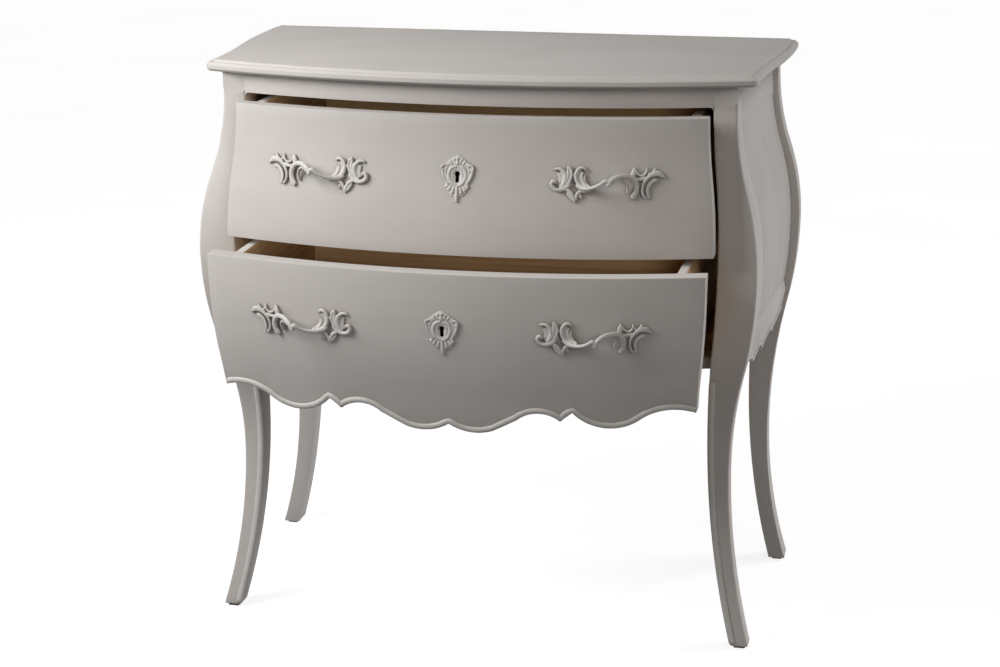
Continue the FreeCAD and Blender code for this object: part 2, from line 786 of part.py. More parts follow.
# How thick a front is at a given height, square to its face, down to its straight-tapered back
def depth_at(height):
    out, lean = swell_at(height)
    stations = (("neck", "0"), ("bulge", "front_bulge"), ("taper", "taper_out"), ("knee", "knee_out"))
    levels = [(number(name + "_height"), number(text)) for name, text in stations]
    for (high, high_out), (low, low_out) in zip(levels, levels[1:]):
        if low <= height <= high:
            back = low_out + (high_out - low_out) * (height - low) / (high - low)
    return (out - back + number("front_thick")) * math.cos(math.radians(lean))


def on_front(x, height):
    out, lean = swell_at(height)
    reach = number("bow_radius") + out
    spot = FreeCAD.Vector(x, number("bow_axis") - math.sqrt(reach ** 2 - x ** 2), height)
    bow = FreeCAD.Rotation(FreeCAD.Vector(0, 0, 1), math.degrees(math.asin(x / reach)))
    return FreeCAD.Placement(spot, bow.multiply(FreeCAD.Rotation(FreeCAD.Vector(1, 0, 0), lean)))


def clear_of_face(spot, height, ends):
    # Moved out as far as the face rises above its own slope at the ends of a casting
    out, lean = swell_at(height)
    turn = math.radians(lean)
    rises = [0]
    for end in ends:
        there, lean_there = swell_at(height + end)
        rises.append((there - out) * math.cos(turn) - end * math.sin(turn))
    return spot.multiply(FreeCAD.Placement(FreeCAD.Vector(0, -max(rises), 0), FreeCAD.Rotation()))


def rod(name, radius, length, start, spot, sides):
    # A sided rod that runs backward, square to the front's face, from a start ahead of it or behind
    shape = doc.addObject("Part::Prism", name)
    shape.Polygon = sides
    bind(shape, "Circumradius", radius)
    bind(shape, "Height", length)
    turn = FreeCAD.Rotation(FreeCAD.Vector(1, 0, 0), -90)
    shape.Placement = spot.multiply(FreeCAD.Placement(FreeCAD.Vector(0, number(start), 0), turn))
    return shape


def plate(name, outline, proud, spot):
    # A flat casting just clear of the front's face
    body = new_body(name)
    sketch = draw(body, name + "_outline", "XZ_Plane", outline)
    bind(sketch, ".AttachmentOffset.Base.z", "plate_gap")
    pad_on(body, name + "_pad", sketch, "%s - plate_gap" % proud)
    body.Placement = spot
    return body


# Handle: cast leaf plates at both ends and an arched grip between them
# Each row gives a corner and the radius of the edge after it, as shares of the handle's reach
OUTER_LEAF_SHARES = (
    (0.487, -0.213, 0), (0.597, 0.040, 0), (0.760, -0.213, -0.260), (1.013, 0.140, 0),
    (0.860, 0.340, 0), (0.693, 0.347, 0), (0.487, 0.347, 0), (0.360, 0.173, -0.300),
)
INNER_LEAF_SHARES = (
    (-0.533, -0.273, 0), (-0.400, -0.207, 0), (-0.293, -0.073, 0), (-0.293, 0, -0.160),
    (-0.340, 0.307, 0), (-0.493, 0.340, 0), (-0.560, 0.253, 0), (-0.600, 0.353, 0),
    (-0.687, 0.353, 0), (-0.760, 0.240, 0), (-0.920, 0.313, -0.161), (-0.833, 0.067, 0),
    (-0.987, 0.020, 0), (-0.867, -0.073, 0), (-0.693, -0.060, 0), (-0.647, -0.147, 0.267),
)
GRIP_SIDES = 8
SCREW_SIDES = 6


def leaf(shares, side, seat, lift):
    # The outline is measured from the plate's screw
    spots = []
    for x_share, z_share, radius_share in shares:
        spots.append((sided(side, "%f * handle_reach - (%s)" % (x_share, seat)),
                      "%f * handle_reach - %s" % (z_share, lift)))
    edge = Outline(*spots[0])
    for spot, (x_share, z_share, radius_share) in zip(spots[1:] + spots[:1], shares):
        if radius_share:
            radius = "%f * handle_reach" % abs(radius_share)
            edge.arc(spot[0], spot[1], radius, radius_share * side > 0)
        else:
            edge.to(*spot)
    edge.corners.pop()
    return edge


def grip(name, side, spot):
    # An arch turned about an upright axis behind the face, its ends inside the two plates
    run = "(grip_outer + grip_inner) / 2"
    rise = "(grip_outer_lift + grip_inner_drop) / 2"
    far = "sqrt((%s) ^ 2 + (%s) ^ 2)" % (run, rise)
    stand = "(handle_stand - plate_proud / 2)"
    radius = "((%s) ^ 2 + %s ^ 2) / (2 * %s)" % (far, stand, stand)
    ring = []
    for i in range(GRIP_SIDES):
        turned = 2 * math.pi * (i + 1 / 2) / GRIP_SIDES
        ring.append((
            "%f * grip_radius - %s" % (math.cos(turned), radius),
            "%f * grip_radius" % math.sin(turned),
        ))
    section = Outline(*ring[0])
    for corner in ring[1:]:
        section.to(*corner)
    body = new_body(name)
    sketch = draw(body, name + "_section", "YZ_Plane", section.closed())
    bind(sketch, ".AttachmentOffset.Base.x", "%s - handle_stand" % radius)
    bar = body.newObject("PartDesign::Revolution", name + "_bar")
    bar.Profile = sketch
    bar.ReferenceAxis = (sketch, ["V_Axis"])
    bar.Midplane = True
    bind(bar, "Angle", "2 * asin((%s) / (%s))" % (far, radius))
    tilt = -side * math.degrees(math.atan2(number(rise), number(run)))
    middle = FreeCAD.Vector(
        side * number("(grip_outer - grip_inner) / 2"), 0, number("(grip_outer_lift - grip_inner_drop) / 2"),
    )
    turn = FreeCAD.Rotation(FreeCAD.Vector(0, 1, 0), tilt)
    body.Placement = spot.multiply(FreeCAD.Placement(middle, turn))
    return body


# Keyhole plate: a pierced cartouche, right half from crown to foot
# Each row gives a corner as shares of the half width and the bend of the edge to it
CROWN_SHARE = 1.11
FOOT_SHARE = -1.70
CARTOUCHE_SHARES = (
    (0.60, 0.84, -1.20), (1.02, 0.36, 0), (0.74, -0.54, -0.80), (0.72, -0.86, 0),
    (0.36, -1.32, 0), (0, FOOT_SHARE, 0),
)
KEYHOLE_SIDES = 8


def keyhole_plate(name, spot, height):
    half = Outline("0", "%f * cartouche_half" % CROWN_SHARE)
    for x_share, z_share, bend_share in CARTOUCHE_SHARES:
        half.bend("%f * cartouche_half" % x_share, "%f * cartouche_half" % z_share, bend_share)
    ends = [number("%f * cartouche_half" % share) for share in (CROWN_SHARE, FOOT_SHARE)]
    seat = clear_of_face(spot, height, ends)
    return plate(name + "_casting", half.mirrored(), "cartouche_proud", seat)


def keyhole(name, spot):
    start = "-2 * cartouche_proud"
    deep = "2 * cartouche_proud + keyhole_deep"
    ring = rod(name + "_ring", "keyhole_radius", deep, start, spot, KEYHOLE_SIDES)
    slot = doc.addObject("Part::Box", name + "_slot")
    bind(slot, "Length", "2 * keyhole_slot_half")
    bind(slot, "Width", deep)
    bind(slot, "Height", "keyhole_long")
    corner = FreeCAD.Vector(-number("keyhole_slot_half"), number(start), -number("keyhole_long"))
    slot.Placement = spot.multiply(FreeCAD.Placement(corner, FreeCAD.Rotation()))
    return fused(name, ring, slot)


# Scalloped lower edge of the lower front, right half from the post to the middle
# Each row gives a place along the half width, a drop as a share of the scallop's depth and the bend to it
SCALLOP_SHARES = (
    (1, 0, 0), (0.776, 0.35, 0.97), (0.512, -0.03, -0.74), (0.461, 0.42, 0), (0.288, 0.40, 0.74),
    (0.188, 1, 0), (0, 0.77, -1.06),
)
lower_edge = Outline("0", "lower_front_top").to("post_bulge_half", "lower_front_top")
lower_edge.to("post_bulge_half", "scallop_end")
for place_share, drop_share, bend_share in SCALLOP_SHARES:
    spot = ("%f * leg_inner_half" % place_share, "scallop_end - %f * scallop_deep" % drop_share)
    lower_edge.bend(spot[0], spot[1], bend_share)
WINDOWS = {
    "upper": rail_window("upper_front_window", "upper_front_bottom", "upper_front_top"),
    "lower": slab("lower_front_view", "XZ_Plane", lower_edge.mirrored(), "2 * region_depth"),
}

# Drawers: built shut against the front's face, then drawn out as photographed
for level, rest, thick in LEVELS:
    pull = "%s_open" % level
    box_low = "%s + slide_gap" % rest
    box_top = "%s_box_top" % level
    floor_low = "%s + bottom_rise" % box_low
    floor_top = "%s + bottom_thick" % floor_low
    height = number("%s_handle_height" % level)
    holes = []
    screws = []
    castings = []
    for hand, side in SIDES:
        name = "%s_%s_handle" % (level, hand)
        centre = side * number("handle_centre")
        pieces = [grip(name + "_grip", side, on_front(centre, height))]
        ends = (
            ("outer", OUTER_LEAF_SHARES, "screw_outer", "screw_outer_lift"),
            ("inner", INNER_LEAF_SHARES, "-screw_inner", "screw_inner_lift"),
        )
        for end, shares, seat, lift in ends:
            tag = "%s_%s" % (name, end)
            spot = on_front(centre + side * number(seat), height + number(lift))
            pieces.append(plate(tag, leaf(shares, side, seat, lift), "plate_proud", spot))
            bore = "screw_radius + hole_gap"
            holes.append(rod(tag + "_hole", bore, "3 * front_thick", "-front_thick", spot, SCREW_SIDES))
            seat_depth = "(%f + head_gap)" % depth_at(height + number(lift))
            long = "plate_gap + %s + screw_head_thick / 2" % seat_depth
            shank = rod(tag + "_shank", "screw_radius", long, "-plate_gap", spot, SCREW_SIDES)
            thick = "screw_head_thick"
            head = rod(tag + "_head", "screw_head_radius", thick, seat_depth, spot, SCREW_SIDES)
            screws.append(fused(tag + "_screw", shank, head))
        castings.append((fused(name + "_casting", *pieces), name))
    lock_height = number("%s_keyhole_height" % level)
    spot = on_front(0, lock_height)
    lock_tool = keyhole("%s_keyhole" % level, spot)
    hole_tool = fused("%s_holes" % level, *holes)
    blank = common("%s_blank" % level, front_shell, front_opening, WINDOWS[level])
    front = cut("%s_face" % level, blank, fused("%s_piercing" % level, lock_tool, hole_tool))
    parts = [(front, "%s_front" % level)] + castings
    cartouche = keyhole_plate("%s_escutcheon" % level, spot, lock_height)
    parts.append((cut("%s_cartouche" % level, cartouche, lock_tool), "%s_escutcheon" % level))
    parts.append((group("%s_screws" % level, screws), "%s_handle_screws" % level))
    floor_half = "box_inner + groove_depth"
    groove = board(
        "%s_groove" % level, "-(%s)" % floor_half, floor_half, "-region_depth", "2 * box_rear",
        floor_low, floor_top,
    )
    for hand, side in SIDES:
        tag = "%s_%s_wall" % (level, hand)
        low, high = across(side, "box_inner", "box_half")
        wall = board(tag, low, high, "-region_depth", "box_rear", box_low, box_top)
        fitted = common(tag + "_fitted", wall, drawer_region)
        parts.append((cut(tag + "_grooved", fitted, groove), "%s_%s_side" % (level, hand)))
    floor = board(
        "%s_floor" % level, "-(%s)" % floor_half, floor_half, "-region_depth", "box_rear",
        floor_low, floor_top,
    )
    parts.append((common("%s_floor_fitted" % level, floor, drawer_region), "%s_bottom" % level))
    for shape, label in parts:
        place(shape, y="-%s" % pull)
        node(shape, label)
    rear_wall = board(
        "%s_rear_wall" % level, "-box_inner", "box_inner", "box_rear - box_side_thick - %s" % pull,
        "box_rear - %s" % pull, floor_top, "%s - back_drop" % box_top,
    )
    node(rear_wall, "%s_back" % level)

doc.recompute()
for shape in doc.Objects:
    if "Invalid" in shape.State or "Error" in shape.State:
        raise RuntimeError("%s did not build" % shape.Name)
for shape in NODES:
    if shape.Shape.isNull() or not shape.Shape.isValid():
        raise RuntimeError("%s has no valid shape" % shape.Label)
    shape.Shape.exportStep("parts/%s.step" % shape.Label)
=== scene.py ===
"""Looks of the bombe chest: brushed paint, raw wood inside, cast handles and keyhole plates."""
import math

import bpy
from mathutils import Euler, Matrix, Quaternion, Vector


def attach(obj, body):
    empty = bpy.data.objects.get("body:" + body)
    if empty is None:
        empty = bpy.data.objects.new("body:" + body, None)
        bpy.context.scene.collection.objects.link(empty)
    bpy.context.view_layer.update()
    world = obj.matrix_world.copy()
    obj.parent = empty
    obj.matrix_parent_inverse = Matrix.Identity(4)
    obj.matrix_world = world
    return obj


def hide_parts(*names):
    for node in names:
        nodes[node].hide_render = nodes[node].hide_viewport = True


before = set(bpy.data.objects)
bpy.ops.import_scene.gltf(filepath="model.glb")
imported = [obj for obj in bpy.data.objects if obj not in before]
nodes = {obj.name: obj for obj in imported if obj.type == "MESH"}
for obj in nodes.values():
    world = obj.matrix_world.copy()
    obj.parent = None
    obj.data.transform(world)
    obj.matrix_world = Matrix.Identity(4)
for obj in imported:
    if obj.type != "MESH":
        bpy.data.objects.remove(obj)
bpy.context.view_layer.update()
MM = 0.001
LEVELS = ("upper", "lower")
# The sign of x on each side
SIDES = {"left": -1, "right": 1}

# The front's doubly curved face, as the solids have it, in millimetres
BOW_RADIUS = 1150.0
BOW_AXIS = 944.0
BULGE_OUT = 27.0
BULGE_HEIGHT = 560.0
UPPER_TURN = 677.5
UPPER_RADIUS = 518.1
NECK_HEIGHT = 795.0
LOWER_TURN = 421.0
LOWER_RADIUS = 549.0
NORMAL_STEP = 0.5

# How far each drawer stands open at rest, and where its castings sit
PULL = {"upper": 41.0, "lower": 121.0}
HANDLE_HEIGHT = {"upper": 690.0, "lower": 503.0}
HANDLE_CENTRE = 199.1
KEYHOLE_HEIGHT = {"upper": 702.3, "lower": 514.0}
KEYHOLE_RADIUS = 3.5
SLOT_HALF = 2.3
SLOT_FOOT = -11.5


def sag(radius, run):
    """How far an arc of that radius falls away over a run from its crown."""
    return radius - math.sqrt(radius * radius - run * run)


def swell_at(height):
    """How far the face stands out from the bow at a height."""
    if height >= NECK_HEIGHT:
        return 0.0
    if height >= UPPER_TURN:
        return sag(UPPER_RADIUS, NECK_HEIGHT - height)
    if height >= BULGE_HEIGHT:
        return BULGE_OUT - sag(UPPER_RADIUS, height - BULGE_HEIGHT)
    if height >= LOWER_TURN:
        return BULGE_OUT - sag(LOWER_RADIUS, BULGE_HEIGHT - height)
    run = BULGE_HEIGHT - LOWER_TURN
    slope = run / math.sqrt(LOWER_RADIUS ** 2 - run ** 2)
    return BULGE_OUT - sag(LOWER_RADIUS, run) - slope * (LOWER_TURN - height)


def face_depth(x, height):
    """Where the shut fronts' face lies, front to rear, at a place across and up."""
    return BOW_AXIS - math.sqrt((BOW_RADIUS + swell_at(height)) ** 2 - x * x)


def face_normal(x, height):
    """The face's outward normal, from how its depth changes across and up."""
    step = NORMAL_STEP
    along = (face_depth(x + step, height) - face_depth(x - step, height)) / (2 * step)
    rise = (face_depth(x, height + step) - face_depth(x, height - step)) / (2 * step)
    return Vector((along, -1, rise)).normalized()


def drawer_ground(level):
    """The face of a drawer front: a point and its normal for a place across and up."""
    def ground(x, height):
        spot = Vector((x, face_depth(x, height) - PULL[level], height))
        return spot, face_normal(x, height)
    return ground


# Front legs, as the solids have them
LEG_INNER = 330.0
LEG_TURN = 310.0
LEG_UPPER_RADIUS = 1354.0
LEG_LOWER_RADIUS = 1162.4
KNEE_HEIGHT = 250.0
KNEE_FRONT = 139.2
KNEE_UPPER_RADIUS = 502.6
KNEE_LOWER_RADIUS = 1327.0


def leg_ground(across, height):
    """The front of the right leg: places count out from its inner edge, and up."""
    inner_bend = LEG_UPPER_RADIUS if height > LEG_TURN else LEG_LOWER_RADIUS
    inner = LEG_INNER + sag(inner_bend, height - LEG_TURN)
    front_bend = KNEE_UPPER_RADIUS if height > KNEE_HEIGHT else KNEE_LOWER_RADIUS
    front = KNEE_FRONT + sag(front_bend, height - KNEE_HEIGHT)
    slope = (height - KNEE_HEIGHT) / front_bend
    return Vector((inner + across, -front, height)), Vector((0, -1, -slope)).normalized()


# Side aprons, as the solids have them
SIDE_HALF = 397.9
SIDE_SPLAY = 0.06595
SIDE_FRONT = -106.2
SIDE_RADIUS = 601.3
SIDE_BULGE = 558.0


def apron_ground(depth, height):
    """The face of the right apron: places count to the rear, and up."""
    out = SIDE_HALF + SIDE_SPLAY * (depth - SIDE_FRONT) - sag(SIDE_RADIUS, SIDE_BULGE - height)
    slope = (SIDE_BULGE - height) / SIDE_RADIUS
    return Vector((out, depth, height)), Vector((1, -SIDE_SPLAY, -slope)).normalized()


# Materials
# Sockets of a colour mix: its factor, first and second colour, and its result
MIX_INPUTS = (0, 6, 7)
MIX_RESULT = 2
# Noise mostly lies between these two
NOISE_LOW = 0.3
NOISE_HIGH = 0.7
TRACED_SAMPLES = 6
BLACK = (0, 0, 0)
WHITE = (1, 1, 1)


class Shader:
    """A material's node tree with short helpers for its chain of nodes."""

    def __init__(self, name):
        self.material = bpy.data.materials.new(name)
        self.material.use_nodes = True
        self.tree = self.material.node_tree
        self.surface = self.tree.nodes["Principled BSDF"]
        self.coordinates = self.add("ShaderNodeTexCoord").outputs

    def add(self, kind, **settings):
        made = self.tree.nodes.new(kind)
        for key, value in settings.items():
            setattr(made, key, value)
        return made

    def link(self, source, target):
        self.tree.links.new(source, target)

    def even(self, socket, value):
        """Sets a value that is the same all over the surface."""
        self.surface.inputs[socket].default_value = value

    def noise(self, scale, detail, roughness=0.5, distortion=0.0, along=None, grain=None):
        """Noise in object space, which may have a scale of its own along the grain's axis."""
        mapping = self.add("ShaderNodeMapping")
        mapping.inputs["Scale"].default_value = [along if axis == grain else scale for axis in "XYZ"]
        self.link(self.coordinates["Object"], mapping.inputs["Vector"])
        texture = self.add("ShaderNodeTexNoise")
        texture.inputs["Scale"].default_value = 1.0
        texture.inputs["Detail"].default_value = detail
        texture.inputs["Roughness"].default_value = roughness
        texture.inputs["Distortion"].default_value = distortion
        self.link(mapping.outputs["Vector"], texture.inputs["Vector"])
        return texture.outputs["Fac"]

    def ramp(self, factor, *stops):
        """A colour picked by a factor, from stops that are a position and a colour each."""
        made = self.add("ShaderNodeValToRGB")
        steps = made.color_ramp.elements
        while len(steps) < len(stops):
            steps.new(0.5)
        for step, (position, colour) in zip(steps, stops):
            step.position = position
            step.color = (*colour, 1)
        self.link(factor, made.inputs["Fac"])
        return made.outputs["Color"]

    def remapped(self, value, start, end, low=0.0, high=1.0):
        """A value that goes from low to high while its source goes from start to end."""
        made = self.add("ShaderNodeMapRange")
        made.inputs["From Min"].default_value = start
        made.inputs["From Max"].default_value = end
        made.inputs["To Min"].default_value = low
        made.inputs["To Max"].default_value = high
        self.link(value, made.inputs["Value"])
        return made.outputs["Result"]

    def grey(self, noise, low, high):
        """Noise spread between two plain values."""
        return self.remapped(noise, NOISE_LOW, NOISE_HIGH, low, high)

    def mix(self, factor, first, second, blend="MIX"):
        made = self.add("ShaderNodeMix", data_type="RGBA", blend_type=blend)
        for value, socket in zip((factor, first, second), MIX_INPUTS):
            if isinstance(value, bpy.types.NodeSocket):
                self.link(value, made.inputs[socket])
            elif isinstance(value, tuple):
                made.inputs[socket].default_value = (*value, 1)
            else:
                made.inputs[socket].default_value = value
        return made.outputs[MIX_RESULT]

    def part(self, coordinate, axis):
        """The part of a texture coordinate along one axis of the object."""
        split = self.add("ShaderNodeSeparateXYZ")
        self.link(self.coordinates[coordinate], split.inputs["Vector"])
        return split.outputs[axis]

    def facing(self, axis, start, end):
        """One where the surface faces along an axis of the object, zero where it doesn't."""
        return self.remapped(self.part("Normal", axis), start, end)

    def near(self, axis, centre, half):
        """One within half a width of a place on an axis of the object, zero elsewhere."""
        made = self.add("ShaderNodeMath", operation="COMPARE")
        made.inputs[1].default_value = centre
        made.inputs[2].default_value = half
        self.link(self.part("Object", axis), made.inputs[0])
        return made.outputs["Value"]

    def edge(self, radius, low, high):
        """One on the arrises, from how far the rounded normal leaves the true one."""
        rounded = self.add("ShaderNodeBevel", samples=TRACED_SAMPLES)
        rounded.inputs["Radius"].default_value = radius
        plain = self.add("ShaderNodeNewGeometry")
        dot = self.add("ShaderNodeVectorMath", operation="DOT_PRODUCT")
        self.link(rounded.outputs["Normal"], dot.inputs[0])
        self.link(plain.outputs["Normal"], dot.inputs[1])
        return self.remapped(dot.outputs["Value"], 1 - low, 1 - high)

    def painted_shade(self, distance, low, high, dark):
        """Painted shade: a tint that falls from white to dark where the surface is shut in within a
        distance.
        """
        shut = self.add("ShaderNodeAmbientOcclusion", samples=TRACED_SAMPLES)
        shut.inputs["Distance"].default_value = distance
        return self.ramp(shut.outputs["AO"], (low, dark), (high, WHITE))

    def bump(self, height, relief, below=None):
        """A normal for a relief, given as its distance and strength, over the one below."""
        made = self.add("ShaderNodeBump")
        distance, strength = relief
        made.inputs["Distance"].default_value = distance
        made.inputs["Strength"].default_value = strength
        self.link(height, made.inputs["Height"])
        if below is not None:
            self.link(below, made.inputs["Normal"])
        return made.outputs["Normal"]

    def close(self, colour, roughness, normal):
        self.link(colour, self.surface.inputs["Base Color"])
        self.link(roughness, self.surface.inputs["Roughness"])
        self.link(normal, self.surface.inputs["Normal"])
        return self.material


# Noise has its scales per metre, a relief its distance and strength, and a painted shade its
# distance, the two ends of its range and its darkest tint
# A share is the most that another tone covers, and a facing says how squarely a face looks along
# an axis where the other tone starts and where it is full

# Brushed paint
PAINT_LIGHT = (0.628, 0.598, 0.576)
PAINT_MID = (0.592, 0.562, 0.540)
PAINT_DARK = (0.480, 0.446, 0.420)
PAINT_STOPS = ((0.30, PAINT_MID), (0.62, PAINT_LIGHT))
PAINT_ROUGHNESS = (0.46, 0.60)
PAINT_SPECULAR = 0.35
MOTTLE = {"scale": 7.0, "detail": 4, "roughness": 0.55}
STROKES = {"scale": 260.0, "along": 2.5, "detail": 4, "roughness": 0.6}
STROKE_SHARE = 0.15
STROKE_RELIEF = (0.0004, 0.10)
BANDS = {"scale": 260.0 / 6, "along": 2.5, "detail": 3}
BAND_SHARE = 0.10
BAND_RELIEF = (0.0008, 0.10)
RUB_RADIUS = 0.0035
RUB_RANGE = (0.02, 0.25)
WEAR = {"scale": 38.0, "detail": 5}
WEAR_SHARE = 0.55
# Painted shade on the fronts near castings and beads
FRONT_PAINTED_SHADE = (0.014, 0.50, 0.95, (0.72, 0.695, 0.67))
# Painted shade: the keyhole's bore is coloured near black over a patch of these half sizes
BORE_PAINTED_SHADE = (0.010, 0.009, 0.008)
BORE_HALF_WIDE = 1.3 * KEYHOLE_RADIUS
BORE_HALF_HIGH = 0.6 * (KEYHOLE_RADIUS - SLOT_FOOT)
BARE_FACING = (0.5, 0.7)

# Bare wood
WOOD_LIGHT = (0.700, 0.500, 0.290)
WOOD_MID = (0.560, 0.375, 0.200)
WOOD_DARK = (0.380, 0.235, 0.115)
WOOD_STOPS = ((0.28, WOOD_DARK), (0.48, WOOD_MID), (0.74, WOOD_LIGHT))
WOOD_ROUGHNESS = (0.62, 0.80)
WOOD_SPECULAR = 0.25
GRAIN_LINES = {"scale": 190.0, "along": 3.5, "detail": 6, "roughness": 0.62, "distortion": 0.3}
GRAIN_RELIEF = (0.0005, 0.30)
FIGURE = {"scale": 26.0, "along": 1.6, "detail": 3, "distortion": 0.8}
FIGURE_SHARE = 0.45
PAINTED_FACING = (0.55, 0.8)

# Painted castings, screws and glides
CAST_LIGHT = (0.700, 0.673, 0.652)
CAST_MID = (0.630, 0.602, 0.580)
CAST_STOPS = ((0.30, CAST_MID), (0.66, CAST_LIGHT))
CAST_ROUGHNESS = (0.40, 0.54)
CAST_SPECULAR = 0.4
CAST_MOTTLE = {"scale": 60.0, "detail": 4}
# Painted shade in the castings' crevices
CAST_PAINTED_SHADE = (0.006, 0.35, 0.95, (0.50, 0.455, 0.42))
CAST_SKIN = {"scale": 900.0, "detail": 3}
SKIN_RELIEF = (0.0003, 0.12)
SPECKS = {"scale": 700.0, "detail": 4}
SPECK_LOW = 0.35
SPECK_HIGH = 0.65
SPECK_RELIEF = (0.0002, 0.15)


def brush_noise(shader, grain):
    """Noise of single brush strokes and of broader bands of them, along the grain's axis."""
    return shader.noise(**STROKES, grain=grain), shader.noise(**BANDS, grain=grain)


def brush_coat(shader, strokes, bands):
    """The chest's paint: close tones laid in fine brush strokes, mottled a little."""
    tone = shader.ramp(shader.noise(**MOTTLE), *PAINT_STOPS)
    tone = shader.mix(shader.grey(strokes, 0.0, STROKE_SHARE), tone, PAINT_DARK)
    return shader.mix(shader.grey(bands, 0.0, BAND_SHARE), tone, PAINT_DARK)


def brush_finish(shader, tone, strokes, bands):
    """Closes a painted surface with the relief and the gloss of its brush strokes."""
    normal = shader.bump(strokes, STROKE_RELIEF)
    normal = shader.bump(bands, BAND_RELIEF, normal)
    shader.even("Specular IOR Level", PAINT_SPECULAR)
    return shader.close(tone, shader.grey(bands, *PAINT_ROUGHNESS), normal)


def paint(name, grain):
    """Paint on wood, rubbed lighter in places along the arrises."""
    shader = Shader(name)
    strokes, bands = brush_noise(shader, grain)
    tone = brush_coat(shader, strokes, bands)
    rubbed = shader.edge(RUB_RADIUS, *RUB_RANGE)
    worn = shader.mix(shader.grey(shader.noise(**WEAR), 0.0, WEAR_SHARE), BLACK, rubbed)
    tone = shader.mix(worn, tone, PAINT_LIGHT)
    return brush_finish(shader, tone, strokes, bands)


def timber(name, grain, painted_axis=None):
    """Unpainted wood with long grain; the faces along one axis may carry the chest's paint."""
    shader = Shader(name)
    grain_lines = shader.noise(**GRAIN_LINES, grain=grain)
    figure = shader.noise(**FIGURE, grain=grain)
    tone = shader.ramp(grain_lines, *WOOD_STOPS)
    tone = shader.mix(shader.grey(figure, 0.0, FIGURE_SHARE), tone, WOOD_LIGHT)
    if painted_axis is not None:
        cover = brush_coat(shader, *brush_noise(shader, grain))
        tone = shader.mix(shader.facing(painted_axis, *PAINTED_FACING), tone, cover)
    normal = shader.bump(grain_lines, GRAIN_RELIEF)
    shader.even("Specular IOR Level", WOOD_SPECULAR)
    return shader.close(tone, shader.grey(figure, *WOOD_ROUGHNESS), normal)


def front_paint(name, keyhole):
    """Paint on a drawer front, with bare wood on its back, painted shade near its castings and beads,
    and its keyhole's bore painted near black as shade at a height.
    """
    shader = Shader(name)
    strokes, bands = brush_noise(shader, "X")
    tone = brush_coat(shader, strokes, bands)
    # Painted shade: the paint darkens near the castings and the bead, where they shade the face
    tone = shader.mix(1.0, tone, shader.painted_shade(*FRONT_PAINTED_SHADE), "MULTIPLY")
    bare = shader.ramp(shader.noise(**GRAIN_LINES, grain="X"), *WOOD_STOPS)
    tone = shader.mix(shader.facing("Y", *BARE_FACING), tone, bare)
    middle = keyhole + (KEYHOLE_RADIUS + SLOT_FOOT) / 2
    # The keyhole's bore is painted near black as its shade
    bore_shade_mask = shader.mix(shader.near("X", 0.0, BORE_HALF_WIDE * MM), BLACK, WHITE)
    bore_shade_mask = shader.mix(shader.near("Z", middle * MM, BORE_HALF_HIGH * MM), BLACK, bore_shade_mask)
    tone = shader.mix(bore_shade_mask, tone, BORE_PAINTED_SHADE)
    return brush_finish(shader, tone, strokes, bands)


def casting_paint(name):
    """Paint over a casting: lighter than the wood, with painted shade darkening its crevices."""
    shader = Shader(name)
    mottle = shader.noise(**CAST_MOTTLE)
    tone = shader.ramp(mottle, *CAST_STOPS)
    # Painted shade: the casting's crevices and shut-in places darken
    tone = shader.mix(1.0, tone, shader.painted_shade(*CAST_PAINTED_SHADE), "MULTIPLY")
    normal = shader.bump(shader.noise(**CAST_SKIN), SKIN_RELIEF)
    shader.even("Specular IOR Level", CAST_SPECULAR)
    return shader.close(tone, shader.grey(mottle, *CAST_ROUGHNESS), normal)


def plain_stuff(name, dark, light, roughness, metallic):
    """A small part's metal or plastic, finely mottled."""
    shader = Shader(name)
    specks = shader.noise(**SPECKS)
    tone = shader.ramp(specks, (SPECK_LOW, dark), (SPECK_HIGH, light))
    shader.even("Metallic", metallic)
    return shader.close(tone, shader.grey(specks, *roughness), shader.bump(specks, SPECK_RELIEF))


PAINT_ALONG = {axis: paint("paint_%s" % axis.lower(), axis) for axis in "XYZ"}
FRONT_PAINT = {level: front_paint("%s_front_paint" % level, KEYHOLE_HEIGHT[level]) for level in LEVELS}
CASTING = casting_paint("casting_paint")
TIMBER = {axis: timber("timber_%s" % axis.lower(), axis) for axis in "XYZ"}
DRAWER_SIDE_WOOD = timber("drawer_side_wood", "Y", "Z")
DRAWER_BACK_WOOD = timber("drawer_back_wood", "X", "Z")
STEEL = plain_stuff("zinc_steel", (0.36, 0.36, 0.37), (0.55, 0.55, 0.56), (0.28, 0.42), 1.0)
PLASTIC = plain_stuff("glide_plastic", (0.015, 0.015, 0.016), (0.035, 0.034, 0.033), (0.5, 0.65), 0.0)

# Eased arrises of the solids, in metres: edges above a height or beyond a half width stay sharp
EASED_ANGLE = math.radians(30)
CREASE_ANGLE = math.radians(38)
NO_LIMIT = 10.0
POST_SHARP_ABOVE = 0.786
FRIEZE_SHARP_ABOVE = 0.800
FRIEZE_SHARP_BEYOND = 0.3285
WELD_GAP = 0.00001
EASE_SEGMENTS = 4
WOOD_EDGE = 0.0012
POST_EDGE = 0.0032
TOP_EDGE = 0.0030
FRONT_EDGE = 0.0011
FRIEZE_EDGE = 0.0016
SCREW_EDGE = WOOD_EDGE / 4


def tree_with_geometry(name):
    tree = bpy.data.node_groups.new(name, "GeometryNodeTree")
    tree.interface.new_socket("Geometry", in_out="INPUT", socket_type="NodeSocketGeometry")
    tree.interface.new_socket("Geometry", in_out="OUTPUT", socket_type="NodeSocketGeometry")
    return tree, tree.nodes.new("NodeGroupInput"), tree.nodes.new("NodeGroupOutput")


def compared(tree, source, operation, limit):
    made = tree.nodes.new("FunctionNodeCompare")
    made.operation = operation
    made.inputs["B"].default_value = limit
    tree.links.new(source, made.inputs["A"])
    return made.outputs["Result"]


